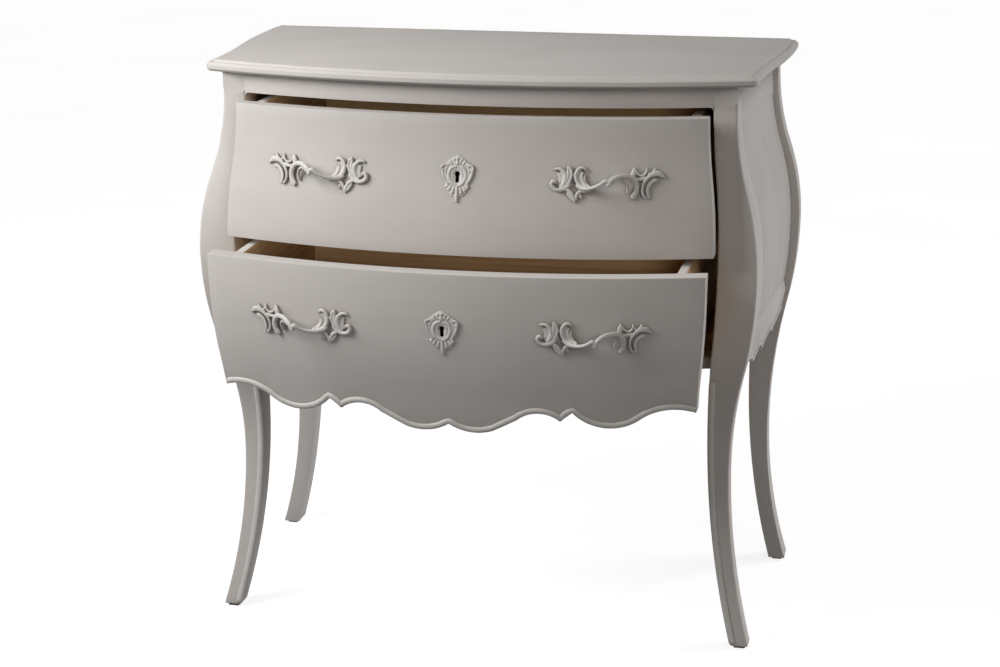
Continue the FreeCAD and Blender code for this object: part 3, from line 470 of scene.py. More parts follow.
def both(tree, first, second):
    made = tree.nodes.new("FunctionNodeBooleanMath")
    made.operation = "AND"
    tree.links.new(first, made.inputs[0])
    tree.links.new(second, made.inputs[1])
    return made.outputs["Boolean"]


def steeper(tree, limit):
    """The edges whose two faces meet at more than an angle."""
    angle = tree.nodes.new("GeometryNodeInputMeshEdgeAngle")
    return compared(tree, angle.outputs["Unsigned Angle"], "GREATER_THAN", limit)


def edge_weights(name, sharp_above, sharp_beyond):
    """A modifier tree that marks steep edges for easing, below a height and within a half width."""
    tree, entry, leave = tree_with_geometry(name)
    place = tree.nodes.new("GeometryNodeInputPosition")
    split = tree.nodes.new("ShaderNodeSeparateXYZ")
    tree.links.new(place.outputs["Position"], split.inputs["Vector"])
    half = tree.nodes.new("ShaderNodeMath")
    half.operation = "ABSOLUTE"
    tree.links.new(split.outputs["X"], half.inputs[0])
    low = compared(tree, split.outputs["Z"], "LESS_THAN", sharp_above)
    near = compared(tree, half.outputs["Value"], "LESS_THAN", sharp_beyond)
    marked = both(tree, steeper(tree, EASED_ANGLE), both(tree, low, near))
    store = tree.nodes.new("GeometryNodeStoreNamedAttribute")
    store.data_type = "FLOAT"
    store.domain = "EDGE"
    store.inputs["Name"].default_value = "bevel_weight_edge"
    tree.links.new(marked, store.inputs["Value"])
    tree.links.new(entry.outputs[0], store.inputs["Geometry"])
    tree.links.new(store.outputs["Geometry"], leave.inputs[0])
    return tree


def soft_shading():
    """A modifier tree that shades smooth across low angles and sharp across steep ones."""
    tree, entry, leave = tree_with_geometry("soft_shading")
    bare = tree.nodes.new("GeometryNodeRemoveAttribute")
    bare.inputs["Name"].default_value = "custom_normal"
    smooth = tree.nodes.new("GeometryNodeSetShadeSmooth")
    sharp = tree.nodes.new("GeometryNodeSetShadeSmooth")
    sharp.domain = "EDGE"
    sharp.inputs["Shade Smooth"].default_value = False
    tree.links.new(steeper(tree, CREASE_ANGLE), sharp.inputs["Selection"])
    tree.links.new(entry.outputs[0], bare.inputs["Geometry"])
    tree.links.new(bare.outputs["Geometry"], smooth.inputs["Geometry"])
    tree.links.new(smooth.outputs["Geometry"], sharp.inputs["Geometry"])
    tree.links.new(sharp.outputs["Geometry"], leave.inputs[0])
    return tree


SOFT_SHADING = soft_shading()
ALL_EDGES = edge_weights("all_edges", NO_LIMIT, NO_LIMIT)
POST_EDGES = edge_weights("post_edges", POST_SHARP_ABOVE, NO_LIMIT)
FRIEZE_EDGES = edge_weights("frieze_edges", FRIEZE_SHARP_ABOVE, FRIEZE_SHARP_BEYOND)


def dress(name, material, edge, weights=ALL_EDGES):
    """Gives a solid its material and eases its arrises by a width in metres."""
    piece = nodes[name]
    piece.data.materials.clear()
    piece.data.materials.append(material)
    weld = piece.modifiers.new("weld", "WELD")
    weld.merge_threshold = WELD_GAP
    marks = piece.modifiers.new("marks", "NODES")
    marks.node_group = weights
    ease = piece.modifiers.new("ease", "BEVEL")
    ease.width = edge
    ease.segments = EASE_SEGMENTS
    ease.limit_method = "WEIGHT"
    ease.use_clamp_overlap = True
    shade = piece.modifiers.new("shade", "NODES")
    shade.node_group = SOFT_SHADING


dress("top_panel", PAINT_ALONG["X"], TOP_EDGE)
for hand in SIDES:
    dress("front_%s_post" % hand, PAINT_ALONG["Z"], POST_EDGE, POST_EDGES)
    dress("rear_%s_post" % hand, PAINT_ALONG["Z"], POST_EDGE)
    dress("%s_side_panel" % hand, PAINT_ALONG["Z"], WOOD_EDGE)
    dress("%s_side_top_rail" % hand, PAINT_ALONG["Y"], WOOD_EDGE)
    dress("%s_side_apron" % hand, PAINT_ALONG["Y"], WOOD_EDGE)
    dress("%s_kicker" % hand, TIMBER["Y"], WOOD_EDGE)
dress("front_top_rail", PAINT_ALONG["X"], FRIEZE_EDGE, FRIEZE_EDGES)
dress("front_bottom_rail", PAINT_ALONG["X"], WOOD_EDGE)
for name in ("middle_rail", "back_panel", "back_top_rail", "back_middle_rail", "back_bottom_rail"):
    dress(name, TIMBER["X"], WOOD_EDGE)
for name in ("drawer_guides", "drawer_stops", "top_blocks"):
    dress(name, TIMBER["Y"], WOOD_EDGE)
dress("foot_glides", PLASTIC, WOOD_EDGE)
for level in LEVELS:
    dress("%s_front" % level, FRONT_PAINT[level], FRONT_EDGE)
    dress("%s_back" % level, DRAWER_BACK_WOOD, WOOD_EDGE)
    dress("%s_bottom" % level, TIMBER["X"], WOOD_EDGE)
    dress("%s_handle_screws" % level, STEEL, SCREW_EDGE)
    for hand in SIDES:
        dress("%s_%s_side" % (level, hand), DRAWER_SIDE_WOOD, WOOD_EDGE)
        dress("%s_%s_runner" % (level, hand), TIMBER["Y"], WOOD_EDGE)

# Sculpted castings, made of tapered strokes laid on the face, in millimetres
# A groove along a stroke has its depth and width as shares of the stroke's own
SECTION_POINTS = 20
GROOVE_DEPTH = 0.55
GROOVE_WIDTH = 0.32
STROKE_STEPS = 7
LEAST_HALF = 0.25
# The voxels that fuse the strokes, in metres, and the smoothing after them
CASTING_VOXEL = 0.00065
SMOOTHING = 0.5
SMOOTHING_ROUNDS = 2


def curve_through(rows, steps):
    """Points of a smooth curve through rows of values, by Catmull-Rom spans."""
    padded = [rows[0], *rows, rows[-1]]
    points = []
    for start in range(len(rows) - 1):
        before, first, second, after = padded[start:start + 4]
        for step in range(steps):
            t = step / steps
            point = []
            for a, b, c, d in zip(before, first, second, after):
                pull = 2 * b + (c - a) * t + (2 * a - 5 * b + 4 * c - d) * t * t
                point.append((pull + (3 * b - a - 3 * c + d) * t ** 3) / 2)
            points.append(point)
    points.append(list(rows[-1]))
    return points


def section(grooved):
    """Unit section of a stroke as pairs across and up: round, or grooved along its top."""
    outline = []
    for step in range(SECTION_POINTS):
        turn = 2 * math.pi * step / SECTION_POINTS
        across, up = math.cos(turn), math.sin(turn)
        if up > 0 and grooved:
            up *= 1 - GROOVE_DEPTH * math.exp(-(across / GROOVE_WIDTH) ** 2)
        outline.append((across, up))
    return outline


class Sculpture:
    """A mesh grown stroke by stroke on a surface, mirrored for the left side."""

    def __init__(self, ground, centre=0.0, height=0.0, side=1):
        self.ground = ground
        self.centre = centre
        self.height = height
        self.side = side
        self.points = []
        self.faces = []

    def at(self, u, w, lift):
        spot, normal = self.ground(self.centre + u, self.height + w)
        return spot + lift * normal

    def add_point(self, point):
        self.points.append(Vector((self.side * point.x, point.y, point.z)))

    def add_face(self, corners):
        self.faces.append(tuple(corners) if self.side > 0 else tuple(reversed(corners)))

    def stroke(self, rows, grooved=False, steps=STROKE_STEPS):
        """Rows give a place along and up the surface, its lift, half width and half height."""
        rings = curve_through(rows, steps)
        shape = section(grooved)
        places = [self.at(*ring[:3]) for ring in rings]
        first = len(self.points)
        for index, ring in enumerate(rings):
            ahead = places[min(index + 1, len(rings) - 1)] - places[max(index - 1, 0)]
            ahead.normalize()
            normal = self.ground(self.centre + ring[0], self.height + ring[1])[1]
            across = ahead.cross(normal).normalized()
            rise = across.cross(ahead)
            wide, high = max(ring[3], LEAST_HALF), max(ring[4], LEAST_HALF)
            for part, lift in shape:
                self.add_point(places[index] + across * wide * part + rise * high * lift)
        last = first + (len(rings) - 1) * SECTION_POINTS
        for start in range(first, last, SECTION_POINTS):
            self.band(start, start + SECTION_POINTS, SECTION_POINTS)
        self.add_face([first + step for step in reversed(range(SECTION_POINTS))])
        self.add_face([last + step for step in range(SECTION_POINTS)])

    def band(self, low, high, count):
        """Quads between two closed loops of points."""
        for step in range(count):
            beside = (step + 1) % count
            self.add_face([low + step, low + beside, high + beside, high + step])

    def plate(self, outer, inner, low, high):
        """A pierced plate between two outlines with as many points each."""
        first = len(self.points)
        count = len(outer)
        loops = ((outer, low), (outer, high), (inner, high), (inner, low))
        for outline, lift in loops:
            for u, w in outline:
                self.add_point(self.at(u, w, lift))
        for loop in range(len(loops)):
            beside = (loop + 1) % len(loops)
            self.band(first + loop * count, first + beside * count, count)

    def piece(self, name, body, slot, material):
        mesh = bpy.data.meshes.new(name)
        mesh.from_pydata([point * MM for point in self.points], [], self.faces)
        mesh.materials.append(material)
        mesh.shade_smooth()
        made = bpy.data.objects.new(name, mesh)
        bpy.context.scene.collection.objects.link(made)
        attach(made, body)
        return made

    def casting(self, name, level, node):
        """The strokes fused into one casting, which stands for a node of a drawer."""
        made = self.piece(name, "%s_drawer" % level, "painted_casting", CASTING)
        cast = made.modifiers.new("cast", "REMESH")
        cast.mode = "VOXEL"
        cast.voxel_size = CASTING_VOXEL
        cast.use_smooth_shade = True
        worn = made.modifiers.new("worn", "SMOOTH")
        worn.factor = SMOOTHING
        worn.iterations = SMOOTHING_ROUNDS
        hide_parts(node)


# Handle strokes: place toward the outer end, place up, lift, half width, half height
GRIP = (
    (-38, 2.4, 2.4, 3.2, 2.6), (-32, -1.6, 5, 3.6, 3), (-25, -3, 9.5, 3, 2.8),
    (-16, -1.4, 15.5, 2.5, 2.5), (-7, 2.8, 20.4, 2.4, 2.4), (-2.4, 6.4, 22.4, 2.9, 2.8),
    (0.2, 7.6, 23, 2.8, 2.7), (1.6, 4.6, 23.2, 2.4, 2.4),
)
ARCH = (
    (1.4, 3.4, 23, 2.4, 2.4), (3.6, 2, 23, 2.9, 2.7), (4.8, 6, 22.8, 3.1, 2.8),
    (8.2, 9.8, 21.8, 3.2, 2.8), (15.6, 13.4, 18, 3.3, 2.8), (26.6, 13.8, 11.5, 3.5, 2.8),
    (34.6, 10, 6.6, 3.6, 2.8), (39.4, 2.4, 4.2, 3.7, 2.8), (39.8, -5.6, 3, 3.8, 2.6),
    (36.8, -12.6, 2.4, 3.9, 2.4), (34.2, -15.8, 2.1, 3.2, 2),
)
HOOK = (
    (7.6, 3.2, 20.6, 1.2, 1.6), (13.4, 7.6, 17.6, 1.7, 2), (20.2, 8.2, 13.2, 1.9, 2.1),
    (26, 4.8, 8.4, 2, 2.1), (28.8, -1, 5, 2.1, 2), (28.4, -6.8, 3, 1.9, 1.8),
    (27.6, -9.2, 2.4, 1.2, 1.4),
)
CREST = (
    (31.5, 12.4, 5, 2.6, 2.4), (38, 9.6, 3.2, 2.6, 2.2), (46, 9.4, 2.6, 2.4, 2),
    (52.6, 11.4, 2.6, 2.4, 2),
)
CREST_RIM = (
    (36.4, 24.6, 2, 1.3, 1.3), (38.4, 20.8, 2.4, 1.6, 1.6), (41, 16.6, 2.6, 1.7, 1.7),
    (45.8, 14.2, 2.6, 1.7, 1.7), (50.4, 16.6, 2.6, 1.7, 1.7), (52.4, 21.4, 2.4, 1.6, 1.6),
    (52, 25.4, 2, 1.1, 1.2),
)
CREST_LEAVES = (
    ((34.6, 13, 3, 3.8, 2.2), (35.2, 17.6, 2.8, 3.4, 2.2), (35.8, 22, 2.4, 2, 1.7),
     (36.3, 25.4, 1.8, 0.8, 1)),
    ((53.4, 21, 2, 1.2, 1.3), (55.4, 17.4, 2.2, 1.4, 1.5), (58.6, 16.4, 2.4, 1.6, 1.6),
     (61, 18, 2.4, 1.5, 1.5)),
    ((58.6, 15.6, 2.4, 2.6, 2), (62.2, 19.6, 2.4, 2.4, 2), (63.8, 24.6, 1.8, 1, 1.1)),
    ((54, 12.4, 2.6, 2.6, 2.2), (61.6, 16.4, 2.8, 3.8, 2.3), (68.6, 16.6, 2.6, 4.2, 2.1),
     (73.6, 13, 2, 2.6, 1.6), (76, 10.4, 1.5, 0.9, 1)),
)
OUTER_C = (
    (60, 14.6, 2.8, 1.8, 2), (53.6, 10.8, 3, 2, 2.2), (49, 4, 3, 2, 2.2), (47.2, -3.8, 2.8, 2, 2.2),
    (49.4, -11.4, 2.4, 1.9, 2), (53.4, -15.6, 1.8, 1.4, 1.5),
)
INNER_C = (
    (66.8, 7.4, 2, 2.4, 1.8), (63.6, 8.4, 2.4, 2.8, 2.1), (59.6, 6.2, 2.4, 2.6, 2.1),
    (55.6, 1, 2.4, 2.4, 2.1), (54.2, -4.6, 2.2, 2.3, 2), (55, -10.6, 2, 2, 1.8),
    (57, -15.4, 1.6, 1.4, 1.4),
)
SCROLL = (
    (-46.4, 4.6, 2.6, 2.4, 2.2), (-51.6, -1.2, 2.8, 2.9, 2.4), (-57.6, -4.4, 2.9, 3, 2.5),
    (-64, -4.8, 2.9, 2.9, 2.5), (-69, -2.4, 2.9, 2.9, 2.5), (-71.4, 2.4, 3, 2.8, 2.6),
    (-69.6, 6.4, 3.2, 2.5, 2.5), (-66.4, 6, 3.4, 2.1, 2.3), (-66, 3.4, 3.4, 1.6, 2),
)
FAN_LEAVES = (
    ((-59.6, -2.4, 2.2, 2.6, 2), (-55, 3, 2.6, 3.2, 2.2), (-53, 10.4, 2.8, 3.4, 2.3),
     (-54.4, 17, 2.8, 3.2, 2.2), (-60, 22.2, 2.5, 2.5, 2), (-66, 22.6, 2.1, 1.9, 1.6),
     (-68.4, 20.6, 1.8, 1.3, 1.3)),
    ((-53.6, 2.6, 2.6, 2, 2), (-50.4, 9, 2.9, 2, 2.1), (-49.4, 16, 3, 2, 2.1),
     (-50.6, 23, 2.6, 1.8, 1.9)),
    ((-50.4, 2.4, 2.8, 2, 2.1), (-46.8, 8.4, 3, 2.1, 2.2), (-45.2, 15.8, 3.1, 2.1, 2.2),
     (-46.8, 22.8, 2.9, 2.1, 2.1), (-51, 26, 2.4, 2.2, 1.8)),
)
FAN_WEBS = (
    ((-61.4, 17.6, 1, 3.4, 1.4), (-58.6, 9, 1.1, 4.4, 1.5), (-61.4, 0.6, 1.1, 3.6, 1.5)),
    ((-34, 20.6, 1.4, 3.4, 1.7), (-35, 12, 1.5, 4.8, 1.9), (-32, 4, 1.8, 4.8, 2),
     (-27, -0.6, 3, 3.2, 2)),
)
SPINE_LEAF = (
    (-28, -2.6, 6, 2.8, 2.4), (-33.4, 1.2, 3.6, 2.8, 2.5), (-38, 6.6, 3.1, 2.7, 2.4),
    (-39.8, 13.6, 3.1, 2.7, 2.4), (-38, 20.2, 3.1, 2.6, 2.3), (-33.6, 24.4, 2.9, 2.5, 2.2),
    (-28.8, 24, 2.6, 2.3, 2), (-26.6, 21, 2.2, 1.8, 1.7),
)
SPINE_VEINS = (
    ((-24, -1.6, 7, 1.6, 1.6), (-29.6, 5, 3.6, 1.8, 1.8), (-31.8, 12.4, 3, 1.8, 1.7),
     (-30.4, 18.8, 2.6, 1.4, 1.5)),
    ((-19.6, -1, 9.6, 1.4, 1.4), (-26, 3.4, 3.4, 1.7, 1.7), (-28.2, 9.4, 2.6, 1.6, 1.6),
     (-27.2, 15.6, 2, 1.2, 1.3)),
)
TAILS = (
    ((-55, -3, 2.6, 2.4, 2.1), (-47.4, -6.4, 2.8, 2.7, 2.2), (-42.8, -12.2, 2.6, 2.6, 2.1),
     (-40.8, -18.4, 2.1, 2, 1.7), (-41, -21, 1.6, 1, 1.1)),
    ((-20, -5, 9.4, 1.6, 1.6), (-26, -6.4, 5.4, 2, 1.8), (-32.6, -6.4, 3.4, 2.4, 2),
     (-36.8, -9.8, 2.8, 2.4, 2), (-38.4, -15, 2.4, 2.1, 1.8), (-40.4, -20.6, 1.8, 1.2, 1.3)),
    ((-34.6, -9, 2.4, 1.9, 1.7), (-32.8, -12.6, 2.2, 2, 1.7), (-32.2, -15.8, 1.8, 1.5, 1.4)),
    ((-50.4, -8, 2, 1.7, 1.6), (-47, -13.4, 2.2, 2, 1.7), (-43, -18.6, 1.8, 1.3, 1.3)),
)


def handle(level, hand, side):
    """A cast leaf handle with its grip, in place of the drawer's own node."""
    name = "%s_%s_handle" % (level, hand)
    cast = Sculpture(drawer_ground(level), HANDLE_CENTRE, HANDLE_HEIGHT[level], side)
    for rows in (GRIP, ARCH, SCROLL, HOOK, CREST, CREST_RIM, OUTER_C, SPINE_LEAF):
        cast.stroke(rows)
    for rows in (*CREST_LEAVES, *FAN_LEAVES, *FAN_WEBS, *SPINE_VEINS, *TAILS):
        cast.stroke(rows)
    cast.stroke(INNER_C, grooved=True)
    cast.casting(name + "_casting", level, name)


# Keyhole plate: its outline from the crown to the foot, and its strokes, on the right half
CARTOUCHE = (
    (0, 24.8), (4, 23.8), (7.4, 21.2), (9.6, 20.4), (12.8, 17), (15.6, 15), (18.4, 13), (21.8, 9),
    (22.8, 3.8), (20.4, -5), (16.4, -11.6), (17.2, -17.8), (14.4, -21.6), (13.2, -24.2), (10, -26.6),
    (8.6, -29.6), (4, -28.6), (2.4, -35.8), (0, -38),
)
INNER_RIM = (
    (0.6, 9.8, 1.6, 1.4, 1.2), (5.2, 9, 1.7, 2, 1.5), (9.6, 5.8, 1.8, 2.3, 1.6),
    (11.6, 0.4, 1.8, 2.4, 1.6), (11, -5.6, 1.8, 2.3, 1.6), (8.2, -11.2, 1.7, 2.2, 1.5),
    (4, -14.8, 1.6, 2, 1.3), (0, -15.8, 1.5, 1.9, 1.2),
)
KEYHOLE_RING = (
    (0.4, 6.6, 1.2, 1.1, 1), (4.6, 5.2, 1.3, 1.3, 1.1), (6.8, 0.8, 1.3, 1.3, 1.1),
    (6.6, -5.2, 1.3, 1.3, 1.1), (4.8, -10.4, 1.2, 1.2, 1), (0.4, -12.6, 1.2, 1.1, 0.9),
)
OUTER_RIM = (
    (20.8, 4.4, 1.5, 1.5, 1.3), (20.2, 1, 1.6, 1.9, 1.5), (18.2, -4.8, 1.6, 1.9, 1.5),
    (14.6, -10.6, 1.5, 1.8, 1.4), (11.4, -13.6, 1.3, 1.7, 1.2),
)
EAR = (
    (14.4, 11, 1.4, 1.3, 1.2), (17.6, 11.8, 1.8, 1.7, 1.5), (20.8, 10.2, 1.9, 1.8, 1.6),
    (21.8, 6.8, 1.8, 1.8, 1.5), (19.6, 4.8, 1.7, 1.4, 1.4), (18, 6.2, 1.6, 1.1, 1.2),
)
KNOBS = (
    ((18.2, -0.4, 1.9, 1.5, 1.4), (21.4, -1, 1.6, 1.5, 1.2)),
    ((15.8, -6.6, 1.9, 1.4, 1.4), (18.8, -8, 1.5, 1.4, 1.2)),
    ((12.4, -12, 1.8, 1.4, 1.3), (15.4, -13.4, 1.4, 1.3, 1.1)),
)
MIDDLE_RIM = (
    (12.6, 10.6, 1.2, 1.1, 1.1), (15.6, 6.8, 1.4, 1.3, 1.1), (16, 1.2, 1.5, 1.4, 1.2),
    (14.2, -5, 1.4, 1.3, 1.1), (11.2, -10.4, 1.3, 1.1, 1.1),
)
SHELL = (
    ((3.2, 12.6, 1.3, 1.2, 1.1), (4.6, 16.6, 1.5, 1.7, 1.2), (5.8, 20.2, 1.4, 2, 1.2)),
    ((6.8, 11.8, 1.3, 1.2, 1.1), (9.2, 14.8, 1.5, 1.6, 1.2), (11, 17.2, 1.3, 1.9, 1.1)),
    ((10.2, 11, 1.2, 1, 1), (13, 12.8, 1.3, 1.4, 1.1), (15.4, 14.2, 1.1, 1.5, 1)),
)
CROWN = (
    (0, 11.6, 1.6, 1.8, 1.3), (0, 14.6, 2, 2.6, 1.7), (0, 17.6, 1.7, 1.5, 1.3),
    (0, 21.8, 1.8, 2.8, 1.6),
)
SKIRT = (
    ((11.8, -14.6, 1.3, 1.4, 1.2), (14, -16.6, 1.6, 1.9, 1.5), (15.4, -18.4, 1.6, 2.2, 1.5)),
    ((8.4, -16.4, 1.3, 1.4, 1.2), (10.4, -19.4, 1.6, 1.9, 1.5), (11.8, -22, 1.7, 2.5, 1.6)),
    ((4.4, -18.2, 1.3, 1.4, 1.2), (5.6, -22.4, 1.7, 1.9, 1.6), (6.6, -26, 1.7, 2.4, 1.6)),
)
PENDANT = (
    (0, -17.8, 1.5, 1.8, 1.3), (0, -23.4, 1.7, 2.3, 1.6), (0, -29, 1.8, 2.2, 1.6),
    (0, -34, 1.6, 1.9, 1.4), (0, -37.2, 1.2, 1.4, 1.1),
)
PLATE_CENTRE = -3.0
PLATE_LOW = -0.6
PLATE_HIGH = 1.3
PLATE_RAYS = 120
KEYHOLE_STEPS = 18
TINY = 1e-9


def reach(outline, across, up):
    """How far an outline lies from the plate's centre along a ray."""
    best = 0.0
    for (x0, w0), (x1, w1) in zip(outline, outline[1:] + outline[:1]):
        run, rise = x1 - x0, w1 - w0
        spread = across * rise - up * run
        if abs(spread) < TINY:
            continue
        share = (up * x0 - across * (w0 - PLATE_CENTRE)) / spread
        far = (x0 * rise - (w0 - PLATE_CENTRE) * run) / spread
        if -TINY <= share <= 1 + TINY and far > best:
            best = far
    return best


def rays_to(outline):
    """Points of an outline where even rays from the plate's centre meet it."""
    points = []
    for step in range(PLATE_RAYS):
        turn = 2 * math.pi * (step + 0.5) / PLATE_RAYS
        across, up = math.cos(turn), math.sin(turn)
        far = reach(outline, across, up)
        points.append((far * across, PLATE_CENTRE + far * up))
    return points


def mirrored_loop(half):
    return list(half) + [(-u, w) for u, w in reversed(half) if u > 0]


def keyhole_outline():
    """A round hole that runs into a slot below it."""
    half_turn = math.asin(SLOT_HALF / KEYHOLE_RADIUS)
    loop = []
    for step in range(KEYHOLE_STEPS + 1):
        turn = half_turn + (2 * math.pi - 2 * half_turn) * step / KEYHOLE_STEPS - math.pi / 2
        loop.append((KEYHOLE_RADIUS * math.cos(turn), KEYHOLE_RADIUS * math.sin(turn)))
    return loop + [(-SLOT_HALF, SLOT_FOOT), (SLOT_HALF, SLOT_FOOT)]


def flipped(rows):
    return tuple((-row[0], *row[1:]) for row in rows)


def escutcheon(level):
    """A cast keyhole plate, in place of the drawer's own node."""
    name = "%s_escutcheon" % level
    cast = Sculpture(drawer_ground(level), 0.0, KEYHOLE_HEIGHT[level])
    cast.plate(rays_to(mirrored_loop(CARTOUCHE)), rays_to(keyhole_outline()), PLATE_LOW, PLATE_HIGH)
    for rows in (KEYHOLE_RING, INNER_RIM, OUTER_RIM, MIDDLE_RIM, EAR, *KNOBS, *SHELL, *SKIRT):
        cast.stroke(rows)
        cast.stroke(flipped(rows))
    cast.stroke(CROWN)
    cast.stroke(PENDANT)
    cast.casting(name + "_casting", level, name)


# Beads along the scalloped edges and down the legs
# An edge's row gives a point, as the solids have it, and the bend of the edge up to it
# The outer scallop starts a little inside the front's end, to clear the post when shut
SCALLOP_OUTER = ((327.5, 396.0, 0), (256.1, 384.5, 1.001), (169.0, 395.9, -0.74), (152.1, 382.4, 0))
SCALLOP_MIDDLE = ((152.1, 382.4, 0), (95.0, 383.0, 0.74), (62.0, 365.0, 0), (0.0, 371.9, -1.06))
APRON_EDGE = (
    (-106.2, 418.0, 0), (-40.9, 398.0, -2.21), (-13.3, 411.3, 0), (38.9, 393.0, -1.36),
    (91.1, 411.3, -1.36), (118.7, 398.0, 0), (184.0, 418.0, -2.21),
)
# A bead has its half width and half height, the side of its edge that it lies on, going along
# the edge, and the size of its ends as a share
ON_LEFT = 1
ON_RIGHT = -1
SCALLOP_BEAD = (4.5, 2.9, ON_RIGHT, 0.8)
APRON_BEAD = (2.2, 1.4, ON_LEFT, 0.8)
LEG_BEAD = (4.8, 2.8, ON_LEFT, 0.4)
LEG_BEAD_TOP = 402.0
LEG_BEAD_FOOT = 7.0
BEAD_STEP = 3.0
BEAD_LIFT = 0.3


def arc_point(start, chord, bend, share):
    """A point part of the way along an arc, whose radius is the bend times its chord."""
    way = 1 if bend > 0 else -1
    radius = abs(bend) * chord.length
    square = Vector((-chord.y, chord.x)).normalized() * way
    centre = start + chord / 2 + square * math.sqrt(radius ** 2 - (chord.length / 2) ** 2)
    turn = 2 * math.asin(chord.length / 2 / radius) * way * share
    arm = start - centre
    across = arm.x * math.cos(turn) - arm.y * math.sin(turn)
    up = arm.x * math.sin(turn) + arm.y * math.cos(turn)
    return centre + Vector((across, up))


def edge_points(rows):
    """Points along a run of lines and arcs."""
    points = [Vector(rows[0][:2])]
    for before, (x, w, bend) in zip(rows, rows[1:]):
        start = Vector(before[:2])
        chord = Vector((x, w)) - start
        steps = max(2, round(chord.length / BEAD_STEP))
        for step in range(1, steps + 1):
            share = step / steps
            points.append(arc_point(start, chord, bend, share) if bend else start + chord * share)
    return points


def scallop_middle():
    """The scalloped edge between its two notches, from the right to the left."""
    half_run = edge_points(SCALLOP_MIDDLE)
    return half_run + [Vector((-point.x, point.y)) for point in reversed(half_run[:-1])]


def leg_points():
    """Points down the inner edge of a front leg."""
    steps = round((LEG_BEAD_TOP - LEG_BEAD_FOOT) / BEAD_STEP)
    fall = LEG_BEAD_FOOT - LEG_BEAD_TOP
    return [Vector((0, LEG_BEAD_TOP + fall * step / steps)) for step in range(steps + 1)]


def bead_rows(points, wide, high, inward, end):
    """Stroke rows for a bead just inside an edge, with its two ends a share of its size."""
    rows = []
    for index, point in enumerate(points):
        ahead = points[min(index + 1, len(points) - 1)] - points[max(index - 1, 0)]
        inside = Vector((-ahead.y, ahead.x)).normalized() * inward
        taper = 1.0 if 0 < index < len(points) - 1 else end
        spot = point + inside * wide
        rows.append((spot.x, spot.y, BEAD_LIFT, wide * taper, high * taper))
    return rows


def bead(name, body, ground, points, form, side=1):
    """A bead along points of an edge, as a piece of its own, in the lighter casting paint: partly
    dry-brushed paint, partly a painted highlight.
    """
    trim = Sculpture(ground, side=side)
    trim.stroke(bead_rows(points, *form), steps=1)
    # The lighter casting paint on the bead is partly dry-brushed paint and partly a painted highlight
    trim.piece(name, body, "painted_wood", CASTING)


LOWER_FACE = drawer_ground("lower")
bead("lower_front_middle_bead", "lower_drawer", LOWER_FACE, scallop_middle(), SCALLOP_BEAD)
for level in LEVELS:
    escutcheon(level)
    for hand, side in SIDES.items():
        handle(level, hand, side)
for hand, side in SIDES.items():
    outer_scallop = edge_points(SCALLOP_OUTER)
    bead("lower_front_%s_bead" % hand, "lower_drawer", LOWER_FACE, outer_scallop, SCALLOP_BEAD, side)
    bead("%s_apron_bead" % hand, "carcass", apron_ground, edge_points(APRON_EDGE), APRON_BEAD, side)
    bead("front_%s_leg_bead" % hand, "carcass", leg_ground, leg_points(), LEG_BEAD, side)

# Floor, in metres
FLOOR_HALF = 14.0
FLOOR_CELLS = 8
FLOOR_GLOW = 0.85
FLOOR_STOPS = ((0.3, (0.30, 0.30, 0.30)), (0.7, (0.34, 0.34, 0.34)))
FLOOR_HAZE = {"scale": 1.5, "detail": 3}
FLOOR_RELIEF = (0.001, 0.02)
FLOOR_ROUGHNESS = (0.8, 0.9)
# Key light, a round softbox
KEY_PLACE = (-1.2, -0.9, 1.5)
KEY_TARGET = (0, 0, 0.55)
KEY_SIZE = 1.1
KEY_POWER = 27.5
KEY_COLOUR = (1.0, 0.995, 0.985)
# Distant fills: the way to each, its strength, its spread in degrees and its colour
FILLS = {
    "right_fill": ((0.72, 0.45, 0.62), 1.62, 30, (1.0, 1.0, 1.0)),
    "top_fill": ((-0.3, 0.4, 0.86), 0.06, 40, (1.0, 1.0, 1.0)),
    "front_fill": ((0.6, -0.8, 0.45), 0.72, 40, (1.0, 0.95, 0.90)),
    "inner_fill": ((0.236, -0.955, 0.19), 1.4, 12, (1.0, 0.95, 0.88)),
}
# The only parts of each drawer that the inner fill lights
INNER_PARTS = ("back", "bottom", "left_side")
# The world's faint glow, and the white that the camera sees behind the chest
GLOW_COLOUR = (1.0, 0.97, 0.93, 1)
GLOW_STRENGTH = 0.02
BACKDROP_COLOUR = (1.0, 1.0, 1.0, 1)
BACKDROP_STRENGTH = 1.0
# Camera: its sensor in millimetres, its angles in degrees
SENSOR = 36.0
FOCAL_PIXELS = 2042.317
IMAGE_WIDTH = 1000.0
AIM_PIXEL = 540.531
EYE_PLACE = (0.65778, -2.86429, 1.26099)
EYE_DIP = 16.2144
EYE_TURN = 11.7925
EYE_ROLL = -0.148


def floor_paper():
    shader = Shader("floor_paper")
    haze = shader.noise(**FLOOR_HAZE)
    tone = shader.ramp(haze, *FLOOR_STOPS)
    shader.even("Emission Color", (*WHITE, 1))
    shader.even("Emission Strength", FLOOR_GLOW)
    return shader.close(tone, shader.grey(haze, *FLOOR_ROUGHNESS), shader.bump(haze, FLOOR_RELIEF))


def floor(half, cells):
    """A square floor of even cells, which throws no diffuse light on the chest."""
    points = []
    faces = []
    for row in range(cells + 1):
        for column in range(cells + 1):
            points.append((half * (2 * column / cells - 1), half * (2 * row / cells - 1), 0))
    for row in range(cells):
        for column in range(cells):
            corner = row * (cells + 1) + column
            faces.append((corner, corner + 1, corner + cells + 2, corner + cells + 1))
    mesh = bpy.data.meshes.new("floor")
    mesh.from_pydata(points, [], faces)
    mesh.materials.append(floor_paper())
    made = bpy.data.objects.new("floor", mesh)
    made.visible_diffuse = False
    bpy.context.scene.collection.objects.link(made)


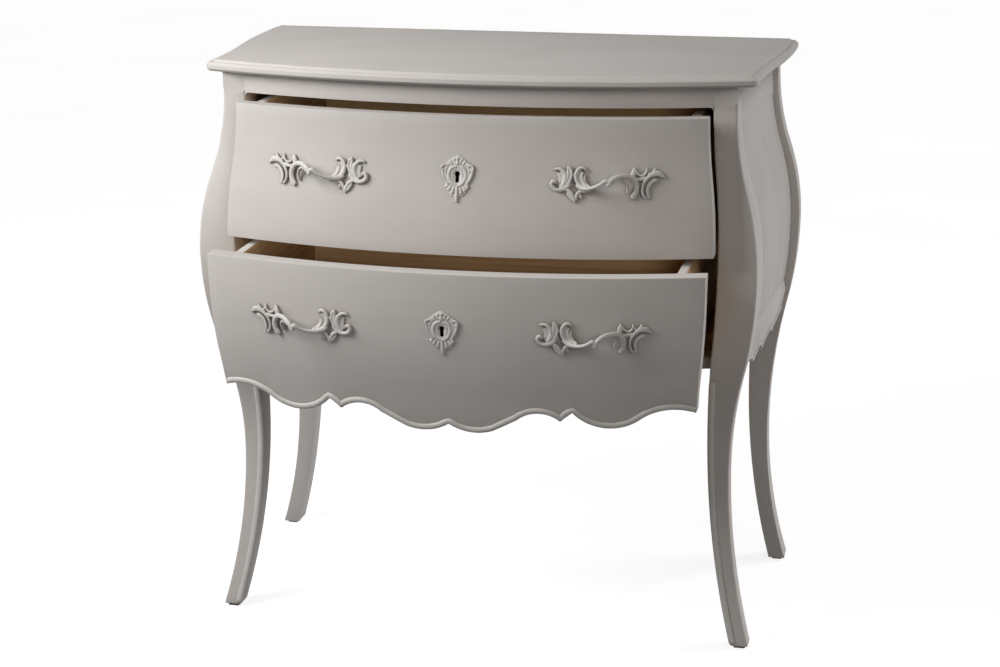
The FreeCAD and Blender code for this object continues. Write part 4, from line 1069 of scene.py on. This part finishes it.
def hang(name, data, place, target):
    """Hangs a lamp at a place, turned to a target and not seen by the camera."""
    made = bpy.data.objects.new(name, data)
    made.location = place
    made.rotation_euler = (Vector(target) - Vector(place)).to_track_quat("-Z", "Y").to_euler()
    made.visible_camera = False
    bpy.context.scene.collection.objects.link(made)
    return made


def softbox(name, place, target, size, power, colour):
    data = bpy.data.lights.new(name, "AREA")
    data.shape = "DISK"
    data.size = size
    data.energy = power
    data.color = colour
    hang(name, data, place, target)


def far_light(name, place, strength, spread, colour):
    data = bpy.data.lights.new(name, "SUN")
    data.energy = strength
    data.angle = math.radians(spread)
    data.color = colour
    made = hang(name, data, place, (0, 0, 0))
    made.visible_glossy = False
    return made


def studio():
    """A world that glows faintly on the chest and shows plain white behind it."""
    made = bpy.data.worlds.new("studio")
    made.use_nodes = True
    tree = made.node_tree
    glow = tree.nodes["Background"]
    glow.inputs["Color"].default_value = GLOW_COLOUR
    glow.inputs["Strength"].default_value = GLOW_STRENGTH
    backdrop = tree.nodes.new("ShaderNodeBackground")
    backdrop.inputs["Color"].default_value = BACKDROP_COLOUR
    backdrop.inputs["Strength"].default_value = BACKDROP_STRENGTH
    seen = tree.nodes.new("ShaderNodeLightPath")
    either = tree.nodes.new("ShaderNodeMixShader")
    tree.links.new(seen.outputs["Is Camera Ray"], either.inputs["Fac"])
    tree.links.new(glow.outputs["Background"], either.inputs[1])
    tree.links.new(backdrop.outputs["Background"], either.inputs[2])
    tree.links.new(either.outputs["Shader"], tree.nodes["World Output"].inputs["Surface"])
    return made


def eye():
    """The camera at the photograph's viewing angle, with its focal length in pixels."""
    lens = bpy.data.cameras.new("camera")
    lens.sensor_width = SENSOR
    lens.lens = FOCAL_PIXELS * SENSOR / IMAGE_WIDTH
    lens.shift_x = (IMAGE_WIDTH / 2 - AIM_PIXEL) / IMAGE_WIDTH
    made = bpy.data.objects.new("camera", lens)
    made.location = EYE_PLACE
    aim = Euler((math.radians(90 - EYE_DIP), 0, math.radians(EYE_TURN))).to_quaternion()
    made.rotation_euler = (aim @ Quaternion((0, 0, 1), math.radians(EYE_ROLL))).to_euler()
    bpy.context.scene.collection.objects.link(made)
    return made


floor(FLOOR_HALF, FLOOR_CELLS)
softbox("key", KEY_PLACE, KEY_TARGET, KEY_SIZE, KEY_POWER, KEY_COLOUR)
fills = {name: far_light(name, *settings) for name, settings in FILLS.items()}

insides = bpy.data.collections.new("drawer_insides")
for level in LEVELS:
    for part in INNER_PARTS:
        insides.objects.link(nodes["%s_%s" % (level, part)])
fills["inner_fill"].light_linking.receiver_collection = insides

scene = bpy.context.scene
scene.world = studio()
scene.view_settings.view_transform = "Standard"
scene.camera = eye()
